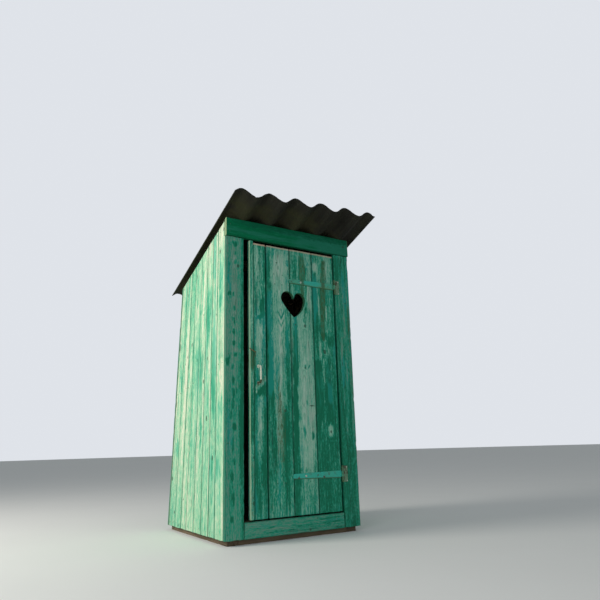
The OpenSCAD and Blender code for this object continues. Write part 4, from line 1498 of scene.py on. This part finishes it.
class OUTHOUSE_OT_door_boards(bpy.types.Operator):
    """Lays the boards of the door and cuts the heart into them"""

    bl_idname = "outhouse.door_boards"
    bl_label = "Door boards"

    def execute(self, context):
        streaks = dict(streak_width=0.022, streak_length=0.5, contrast=0.8, edge_wear=-0.1)
        grain = dict(ring_width=0.006, rise=0.02, heart_depth=0.02)
        material = painted_wood("door_paint", **streaks, **grain)
        outline = heart_outline()
        for k, special in enumerate(DOOR_BOARDS):
            node = f"door_board_{k + 1}"
            facts = dict(worn_spread=0.15, knot_count=0, seam=0.001, ends=0.0015, chip=0.0018)
            facts.update(FINE_STEPS, raw_top=0.011, rawness=0.62 if k else 0.9)
            own = new_board(811 + 10 * k, **facts, **special)
            if k in (1, 2):
                self.cut_heart(own, node, outline)
            facts = f"door_plank_{k + 1}", "door", "door_paint", material, node, Z_AXIS, X_AXIS
            lone_board(*facts, own)
        # The strip's left side is raw wood in a very pale green, partly its own colour and partly painted
        # light where the sun falls on it; behind raw_depth it keeps the darker paint, as dirt and painted
        # shadow in the gap.
        strip = new_board(
            871,
            worn=0.5,
            blueness=0.12,
            moss=[(-0.316, 1.13, 0.016, 0.08, 0.8), (-0.316, 0.3, 0.02, 0.25, 0.4)],
            patches=[(-0.321, 0.8, 0.02, 0.2, -0.5), (-0.304, 1.65, 0.003, 0.3, 0.9)],
            seam=0.0006,
            ends=0.001,
            painted_back=True,
            raw_side=-1,
            raw_depth=0.55,
            **FINE_STEPS,
        )
        streaks = dict(streak_width=0.022, streak_length=0.5, seam_dirt=0.1)
        pale_lit_side = painted_wood("strip_paint", raw_wood=(0.66, 0.98, 0.62), **streaks)
        place = "door_edge_strip", Z_AXIS, X_AXIS
        lone_board("door_strip", "door", "door_paint", pale_lit_side, *place, strip)
        return {"FINISHED"}

    def cut_heart(self, own, node, outline):
        """Gives a board the cutter of its part of the heart, and the reach to its edge."""
        low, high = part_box(node)
        x0, z0 = (low.x + high.x) / 2, low.z
        middle = outline.mean(0)

        def gap(u, w):
            reach = np.full(len(u), 9.0)
            x, z = u + x0, w + z0
            near = np.hypot(x - middle[0], z - middle[1]) < 0.2
            for (ax, az), (bx, bz) in zip(outline, np.roll(outline, -1, axis=0)):
                d = np.array([bx - ax, bz - az])
                t = ((x[near] - ax) * d[0] + (z[near] - az) * d[1]) / (d @ d)
                t = np.clip(t, 0, 1)
                r = np.hypot(x[near] - ax - t * d[0], z[near] - az - t * d[1])
                reach[near] = np.minimum(reach[near], r)
            return reach

        way = outline - middle
        way = way / np.linalg.norm(way, axis=1)[:, None]
        n = len(outline)
        rings = []
        for grow, depth in ((0.003, -0.002), (0.0012, 0.0), (0.0, 0.0012), (0.0, 0.03)):
            ring = outline + way * grow
            rings.append(np.column_stack([ring[:, 0] - x0, np.full(n, depth), ring[:, 1] - z0]))
        faces = [[a, d, c, b] for a, b, c, d in ring_faces(len(rings), n)]
        faces += [list(range(n)), [3 * n + i for i in reversed(range(n))]]
        own.cutter = np.concatenate(rings), faces
        own.outline_gap = gap


class OUTHOUSE_OT_door_ledges(bpy.types.Operator):
    """Lays the ledges and the slanting brace on the back of the door"""

    bl_idname = "outhouse.door_ledges"
    bl_label = "Door ledges"

    def execute(self, context):
        pile = Pile()
        ways = {
            "upper_ledge": (X_AXIS, Z_AXIS, Y_AXIS),
            "lower_ledge": (X_AXIS, Z_AXIS, Y_AXIS),
            "door_brace": (Z_AXIS, X_AXIS, Y_AXIS),
        }
        for seed, (node, way) in enumerate(ways.items(), 901):
            lay_board(pile, Slab(node, *way), new_board(seed, ends=0.0006, chip=0.002, **SAWN))
        pile.piece("door_ledges", "door", "frame_timber", [frame_wood()], list(ways))
        return {"FINISHED"}


class OUTHOUSE_OT_strap_hinges(bpy.types.Operator):
    """Makes the two strap hinges with their plates, pins and screws"""

    bl_idname = "outhouse.strap_hinges"
    bl_label = "Strap hinges"

    def execute(self, context):
        zinc = rusty_metal("zinc_bolt", (0.62, 0.72, 0.6), 0.05, 0.3)
        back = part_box("door_board_1")[0].y
        for side in ("upper", "lower"):
            low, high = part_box(f"{side}_strap")
            z = (low.z + high.z) / 2
            pin = high.x - KNUCKLE_RADIUS, low.y + KNUCKLE_RADIUS, z
            self.strap(side, back, low.x, pin, zinc)
            self.plate(side, back, pin, zinc)
        return {"FINISHED"}

    def strap(self, side, back, x_low, pin, zinc):
        """The long strap on the door, with the knuckle that turns on the pin."""
        material = rusty_metal(
            "strap_paint", (0.02, 0.52, 0.4), 0.2, size=0.01, rough=(0.45, 0.8), old=(0.1, 0.37, 0.2)
        )
        x_pin, _, z = pin
        tip, root, half = 0.017, 0.024, HALF_KNUCKLE
        tip_x = x_low + tip
        root_x = x_pin - KNUCKLE_RADIUS - 0.003
        arc = np.linspace(math.pi / 2, 1.5 * math.pi, 13)
        outline = [(tip_x + tip * math.cos(t), z + tip * math.sin(t)) for t in arc]
        outline += [(root_x, z - root), (root_x, z - half), (x_pin - 0.002, z - half)]
        outline += [(x_pin - 0.002, z + half), (root_x, z + half), (root_x, z + root)]
        cuts = np.arange(x_low + 0.004, root_x, 0.007)
        rows = z + np.array((-0.019, -0.0165, -0.0135, -0.01, 0.0, 0.01))
        points, faces = plate_mesh(outline, back, STRAP_THICKNESS, 0.0008, cuts, rows)

        # The lower edge is darkened in the moss colour as painted shade under the strap, and moss crosses
        # the upper strap in bands below the boards' seams
        wear = np.zeros((len(points), 3))
        x = points[:, 0]
        lower_edge = z - np.interp(x, (tip_x, root_x), (tip, root))
        wear[:, 2] = 0.9 * (1 - step_up(points[:, 2] - lower_edge, 0.003, 0.0095))
        wear[:, 1] = 0.75 * drift(x, 51 + len(side), 0.04) * drift(points[:, 2], 53, 0.012)
        bands = ((0.088, 0.02, 0.75), (0.015, 0.045, 0.2), (0.268, 0.018, 0.95), (0.356, 0.014, 0.6))
        if side == "upper":
            wear[:, 1] += 0.45 * step_up(x, 0.19, 0.3) + 0.55 * (1 - step_up(x, 0.03, 0.1))
            wear[:, 0] = -0.35 * step_up(x, 0.1, 0.12)
            for middle, half_band, amount in bands:
                band = 1 - step_up(np.abs(x - middle) / half_band, 0.2, 1.7)
                wear[:, 2] = np.maximum(wear[:, 2], amount * band)
        pile = Pile()
        pile.add(points, faces, wear=wear)
        pile.add(*knuckle(-half, half, pin), wear=(0.15, 0.8, 0.45))
        for part in (0.055, 0.26, 0.56, 0.88):
            x = x_low + (root_x - x_low) * part
            tint = 1.0 if side == "upper" and part > 0.8 else 0.3
            head = (0.0075, 0.0042, 2, None) if part == 0.26 else (0.005, 0.0022, 0, part * 9)
            screw_head(pile, (x, back - 0.0039, z), *head, (0.22, tint, 0.0))
        materials = [material, plain_iron(), zinc]
        pile.piece(f"{side}_strap_iron", "door", "strap_paint", materials, [f"{side}_strap"])

    def plate(self, side, back, pin, zinc):
        """The plate on the jamb board, with two knuckles, the pin and its head."""
        material = rusty_metal(
            "flange_paint", (0.15, 0.3, 0.18), 0.4, size=0.009, rough=(0.5, 0.85),
            rust=(0.13, 0.135, 0.085), dark=(0.05, 0.06, 0.035),
        )
        x_pin, y_pin, z = pin
        x_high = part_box(f"{side}_hinge_plate")[1].x
        px = x_high - 0.036
        foot, head = z - HALF_PLATE, z + HALF_PLATE
        tall = (head - foot - 2 * HALF_KNUCKLE) / 2 - 0.001
        corner = 0.003
        outline = [(px, foot), (x_high - corner, foot), (x_high, foot + corner)]
        outline += [(x_high, head - corner), (x_high - corner, head), (px, head)]
        pile = Pile()
        pile.add(*plate_mesh(outline, back, PLATE_THICKNESS, 0.0006), 2)
        for start in (foot, head - tall):
            tab = [(x_pin, start), (px + 0.001, start), (px + 0.001, start + tall)]
            tab.append((x_pin, start + tall))
            pile.add(*plate_mesh(tab, back, PLATE_THICKNESS, 0.0005))
            pile.add(*knuckle(0.0, tall, (x_pin, y_pin, start)), 2, wear=(0.1, 0.0, 0.7))
        rod = [(PIN_RADIUS - 0.0008, -0.053), (PIN_RADIUS, -0.0522), (PIN_RADIUS, 0.0532)]
        rod += [(0.0052, 0.0533), (0.0055, 0.054), (0.005, 0.0555), (0.003, 0.056)]
        pile.add(*turned(rod, pin, Z_AXIS, 24))
        screws = ((0.027, 0.044, 1), (0.013, 0.018, 2), (0.025, -0.012, 2), (0.03, -0.045, 1))
        for dx, dz, tone in screws:
            screw_head(pile, (px + dx, back - 0.003, z + dz), 0.0042, 0.0018, tone, dz * 90)
        materials = [plain_iron(), zinc, material]
        pile.piece(f"{side}_plate_iron", "building", "rusty_iron", materials, [f"{side}_hinge_plate"])


class OUTHOUSE_OT_door_handle(bpy.types.Operator):
    """Makes the bow handle with its feet and screws"""

    bl_idname = "outhouse.door_handle"
    bl_label = "Door handle"

    def execute(self, context):
        facts = dict(rust=(0.12, 0.13, 0.07), dark=(0.03, 0.05, 0.025), rough=(0.35, 0.8))
        steel = rusty_metal("handle_steel", (0.85, 0.88, 0.7), 0.1, size=0.012, **facts)
        low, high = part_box("door_handle")
        bar, foot, bend = 0.006, 0.011, 0.014
        x = (low.x + high.x) / 2
        y_out, back = low.y + bar, high.y
        z_low, z_high = low.z + foot, high.z - foot
        quarter = np.linspace(0, math.pi / 2, 9)
        path = [(back - 0.001, z_low)]
        path += [(back - (back - y_out - bend) * k / 5, z_low) for k in range(1, 5)]
        for t in quarter:
            path.append((y_out + bend - bend * math.sin(t), z_low + bend - bend * math.cos(t)))
        for k in range(1, 12):
            path.append((y_out, z_low + bend + (z_high - z_low - 2 * bend) * k / 12))
        for t in quarter:
            path.append((y_out + bend - bend * math.cos(t), z_high - bend + bend * math.sin(t)))
        for k in range(1, 6):
            path.append((y_out + bend + (back - 0.001 - y_out - bend) * k / 5, z_high))
        part = np.linspace(0, 1, len(path))
        radii = bar * (0.86 + 0.14 * np.sin(math.pi * part) ** 0.5)
        pile = Pile()
        points, faces = tube([(x, y, z) for y, z in path], radii, 20)
        low_end = 1 - step_up(points[:, 2], z_low + 0.006, z_low + 0.024)
        pile.add(points, faces, wear=np.column_stack([low_end, low_end * 0, low_end * 0]))
        disc = [(foot, 0.0001), (foot, 0.0012), (foot - 0.001, 0.0022), (0.006, 0.0026)]
        for seed, z, rusty in ((1, z_low, 0.6), (2, z_high, 0.1)):
            pile.add(*turned(disc, (x, back, z), FORWARD, 28, 0.04, seed), wear=(rusty, 0.0, 0.0))
            for dx in (-0.0088, 0.0088):
                screw_head(pile, (x + dx, back - 0.0022, z), 0.0026, 0.0012, 1)
        pile.piece("bow_handle", "door", "handle_steel", [steel, plain_iron()], ["door_handle"])
        return {"FINISHED"}


class OUTHOUSE_OT_door_hook(bpy.types.Operator):
    """Makes the rusty hook that hangs from its screw eye"""

    bl_idname = "outhouse.door_hook"
    bl_label = "Door hook"

    def execute(self, context):
        facts = dict(size=0.004, rust=(0.36, 0.24, 0.11), dark=(0.08, 0.06, 0.035))
        rust = rusty_metal("hook_iron", (0.3, 0.2, 0.08), 0.6, **facts)
        low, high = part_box("door_hook")
        bar, boss, arm, slope = 0.003, 0.0055, 0.053, math.radians(27)
        x, y, z = high.x - boss, high.y - bar - 0.0004, low.z + 0.032
        corner = Vector((x, y, z))
        tip = Vector((x - arm * math.cos(slope), y, z + arm * math.sin(slope)))
        start = corner.lerp(tip, 0.2)
        stop = corner + Vector((0, 0, -0.009))
        path = [corner.lerp(tip, 1 - k / 14) for k in range(12)]
        for t in np.linspace(0.0, 1.0, 8)[1:]:
            path.append(start.lerp(corner, t).lerp(corner.lerp(stop, t), t))
        path += [stop + Vector((0, 0, -(0.032 - 0.009) * k / 7)) for k in range(1, 8)]
        radii = np.full(len(path), bar * 0.95)
        radii[:3] *= (0.55, 0.8, 0.95)
        radii[-3:] *= (0.98, 0.85, 0.6)
        pile = Pile()
        points, faces = tube([tuple(p) for p in path], radii, 14)
        hanging = 0.8 * step_up(points[:, 0], x - 0.012, x - 0.002)
        pile.add(points, faces, wear=np.column_stack([hanging * 0, hanging * 0, hanging]))
        eye = [(boss, 0.0), (boss, 0.0052), (boss - 0.0008, 0.0064), (0.002, 0.007)]
        pile.add(*turned(eye, (x, high.y, z), FORWARD, 20, 0.06, 5), wear=(0.0, 0.0, 0.9))
        pile.piece("iron_hook", "door", "rusty_iron", [rust], ["door_hook"])
        return {"FINISHED"}


class OUTHOUSE_OT_nails(bpy.types.Operator):
    """Drives the nails into the boards"""

    bl_idname = "outhouse.nails"
    bl_label = "Nails"

    def execute(self, context):
        facts = dict(size=0.004, rust=(0.14, 0.16, 0.09))
        side = rusty_metal("side_nails", (0.3, 0.5, 0.32), 0.42, **facts)
        facts = dict(size=0.004, rust=(0.04, 0.08, 0.05))
        dark = rusty_metal("front_nails", (0.02, 0.2, 0.11), 0.3, **facts)
        rng = np.random.default_rng(77)
        profile = head_profile(sizes().nail_head, 0.0012)
        building, door = Pile(), Pile()

        def off(reach):
            return reach * (rng.random() - 0.5)

        def rows(slab, seams, heights, out):
            for (low, high), part in product(zip(seams, seams[1:]), (0.24, 0.76)):
                a = low + (high - low) * (part + off(0.06))
                for height in heights:
                    place = [np.array([k]) for k in (a, 0.0, height + off(0.006))]
                    building.add(*turned(profile, slab.at(*place)[0], out, 12))

        for node, inward, seams in (
            ("left_wall", X_AXIS, LEFT_SEAMS),
            ("right_wall", (-1, 0, 0), RIGHT_SEAMS),
        ):
            slab = Slab(node, Z_AXIS, Y_AXIS, inward)
            rails = (0.062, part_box("left_mid_rail")[0].z + 0.025)
            heights = [(z - 0.03) / slab.length for z in rails] + [0.985]
            rows(slab, seams, heights, [-k for k in inward])
        out = (0.0, math.cos(REAR_LEAN), math.sin(REAR_LEAN))
        rows(Slab("rear_wall", Z_AXIS, X_AXIS, FORWARD), REAR_SEAMS, (0.018, 0.572, 0.98), out)
        for node, reach, heights, x_off, z_off in (
            ("left_front_board", 0.485, (0.07, 0.6, 1.15, 1.7, 1.92), 0.006, 0.02),
            ("header_board", 0.48, (2.0, 2.06), 0.01, 0.01),
        ):
            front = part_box(node)[0].y
            for x, z in product((-reach, reach), heights):
                p = (x + off(x_off), front, z + off(z_off))
                building.add(*turned(profile, p, FORWARD, 12), 1)
        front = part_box("left_front_board")[0].y
        for k, ledge in product((1, 2, 3, 4), ("upper_ledge", "lower_ledge")):
            low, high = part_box(f"door_board_{k}")
            foot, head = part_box(ledge)
            count = 1 if k == 1 else 2
            for n, dz in product(range(count), (-LEDGE_NAILS, LEDGE_NAILS)):
                x = low.x + (high.x - low.x) * (n + 1) / (count + 1)
                p = (x + off(0.01), front, (foot.z + head.z) / 2 + dz)
                door.add(*turned(profile, p, FORWARD, 12))
        building.piece("wall_nails", "building", "rusty_iron", [side, dark])
        door.piece("door_nails", "door", "rusty_iron", [dark])
        return {"FINISHED"}


def area_light(name, size, power, tint, place, aim):
    light = bpy.data.lights.new(name, "AREA")
    light.shape = "DISK"
    light.size = size
    light.energy = power
    light.color = tint
    lamp = in_scene(name, light)
    lamp.location = place
    lamp.rotation_euler = (Vector(aim) - Vector(place)).to_track_quat("-Z", "Y").to_euler()


# The camera's place, its yaw, pitch and roll, and its lens give the photograph's framing
CAMERA_PLACE = (-1.968, -3.807, 0.566)
CAMERA_TURN = (0.5546, 0.2561, -0.0287)
CAMERA_LENS = 33.6


class OUTHOUSE_OT_stage(bpy.types.Operator):
    """Sets the floor, the soft lights and the camera"""

    bl_idname = "outhouse.stage"
    bl_label = "Stage"

    def execute(self, context):
        scene = context.scene
        facts = scene.outhouse_stage
        n = 96
        points = [(0.0, 0.0, 0.0)]
        for r in (1.5, 4.0, 12.0, 60.0):
            turns = [2 * math.pi * k / n for k in range(n)]
            points += [(r * math.cos(t), r * math.sin(t), 0.0) for t in turns]
        faces = [[0, 1 + k, 1 + (k + 1) % n] for k in range(n)]
        faces += [[a, d, c, b] for a, b, c, d in ring_faces(4, n, 1)]
        mesh = new_mesh("studio_floor", points, faces)
        mesh.update()
        in_scene("studio_floor", mesh)
        material, t, shader = blank_material("studio_floor", 0.1)
        tone = facts.floor_tone
        low, high = (tone, tone, tone * 0.99), (tone * 1.04, tone * 1.04, tone * 1.03)
        speck = t.noise(t.node("TexCoord").outputs["Object"], 1.5, 3.0, 0.5)
        t.fill(shader, base_color=t.mix(speck, low, high), roughness=0.9)
        mesh.materials.append(material)

        warm, cool = (1.0, 0.955, 0.87), (0.93, 0.97, 1.0)
        area_light("key_light", 2.4, facts.key_power, warm, (-5.4, 0.9, 3.4), (0, 0, 1.1))
        area_light("fill_light", 3.0, facts.fill_power, cool, (-4.6, -4.2, 2.6), (0, -0.4, 1.1))

        # The camera sees a pale backdrop, and the object gets a softer light from all around
        world = bpy.data.worlds.new("studio_world")
        world.use_nodes = True
        world.node_tree.nodes.clear()
        t = Wires(world.node_tree)
        seen, soft = t.node("Background"), t.node("Background")
        t.fill(seen.inputs, color=(0.78, 0.81, 0.86), strength=0.95)
        t.fill(soft.inputs, color=(0.9, 0.97, 1.0), strength=0.345)
        is_camera = t.node("LightPath").outputs["Is Camera Ray"]
        choice = t.in_order("MixShader", is_camera, soft.outputs[0], seen.outputs[0])
        t.fill(t.node("OutputWorld").inputs, surface=choice)
        scene.world = world
        scene.view_settings.view_transform = "Standard"

        yaw, pitch, roll = CAMERA_TURN
        flat = math.cos(pitch)
        ahead = Vector((math.sin(yaw) * flat, math.cos(yaw) * flat, math.sin(pitch)))
        level = Vector((math.cos(yaw), -math.sin(yaw), 0.0))
        up = level.cross(ahead)
        right = level * math.cos(roll) + up * math.sin(roll)
        top = up * math.cos(roll) - level * math.sin(roll)
        eye = bpy.data.cameras.new("camera")
        eye.sensor_width = 36.0
        eye.lens = CAMERA_LENS
        eye.clip_end = 200.0
        camera = in_scene("camera", eye)
        rows = [(*axes, at) for *axes, at in zip(right, top, -ahead, CAMERA_PLACE)]
        camera.matrix_world = Matrix((*rows, (0.0, 0.0, 0.0, 1.0)))
        bpy.context.scene.camera = camera
        return {"FINISHED"}


STEPS = (
    OUTHOUSE_OT_stage,
    OUTHOUSE_OT_side_walls,
    OUTHOUSE_OT_rear_wall,
    OUTHOUSE_OT_front_boards,
    OUTHOUSE_OT_header,
    OUTHOUSE_OT_timber_frame,
    OUTHOUSE_OT_floor_boards,
    OUTHOUSE_OT_roof_sheet,
    OUTHOUSE_OT_door_boards,
    OUTHOUSE_OT_door_ledges,
    OUTHOUSE_OT_strap_hinges,
    OUTHOUSE_OT_door_handle,
    OUTHOUSE_OT_door_hook,
    OUTHOUSE_OT_nails,
)


class OUTHOUSE_PT_panel(bpy.types.Panel):
    """Lists the pieces of the outhouse"""

    bl_idname = "OUTHOUSE_PT_panel"
    bl_label = "Wooden outhouse"
    bl_space_type = "VIEW_3D"
    bl_region_type = "UI"
    bl_category = "Outhouse"

    def draw(self, context):
        scene = context.scene
        for group in (scene.outhouse_sizes, scene.outhouse_colours, scene.outhouse_stage):
            box = self.layout.box()
            for name in group.bl_rna.properties.keys():
                if name not in ("rna_type", "name"):
                    box.prop(group, name)
        for step in STEPS:
            self.layout.operator(step.bl_idname)


GROUPS = {
    "outhouse_sizes": OuthouseSizes,
    "outhouse_colours": OuthouseColours,
    "outhouse_stage": OuthouseStage,
}
CLASSES = (*GROUPS.values(), *STEPS, OUTHOUSE_PT_panel)


def register():
    for cls in CLASSES:
        bpy.utils.register_class(cls)
    for name, cls in GROUPS.items():
        setattr(bpy.types.Scene, name, PointerProperty(type=cls))


def unregister():
    for name in GROUPS:
        delattr(bpy.types.Scene, name)
    for cls in reversed(CLASSES):
        bpy.utils.unregister_class(cls)


def main():
    register()
    for step in STEPS:
        group, name = step.bl_idname.split(".")
        getattr(getattr(bpy.ops, group), name)()
    bpy.context.view_layer.update()


if __name__ == "__main__":
    main()
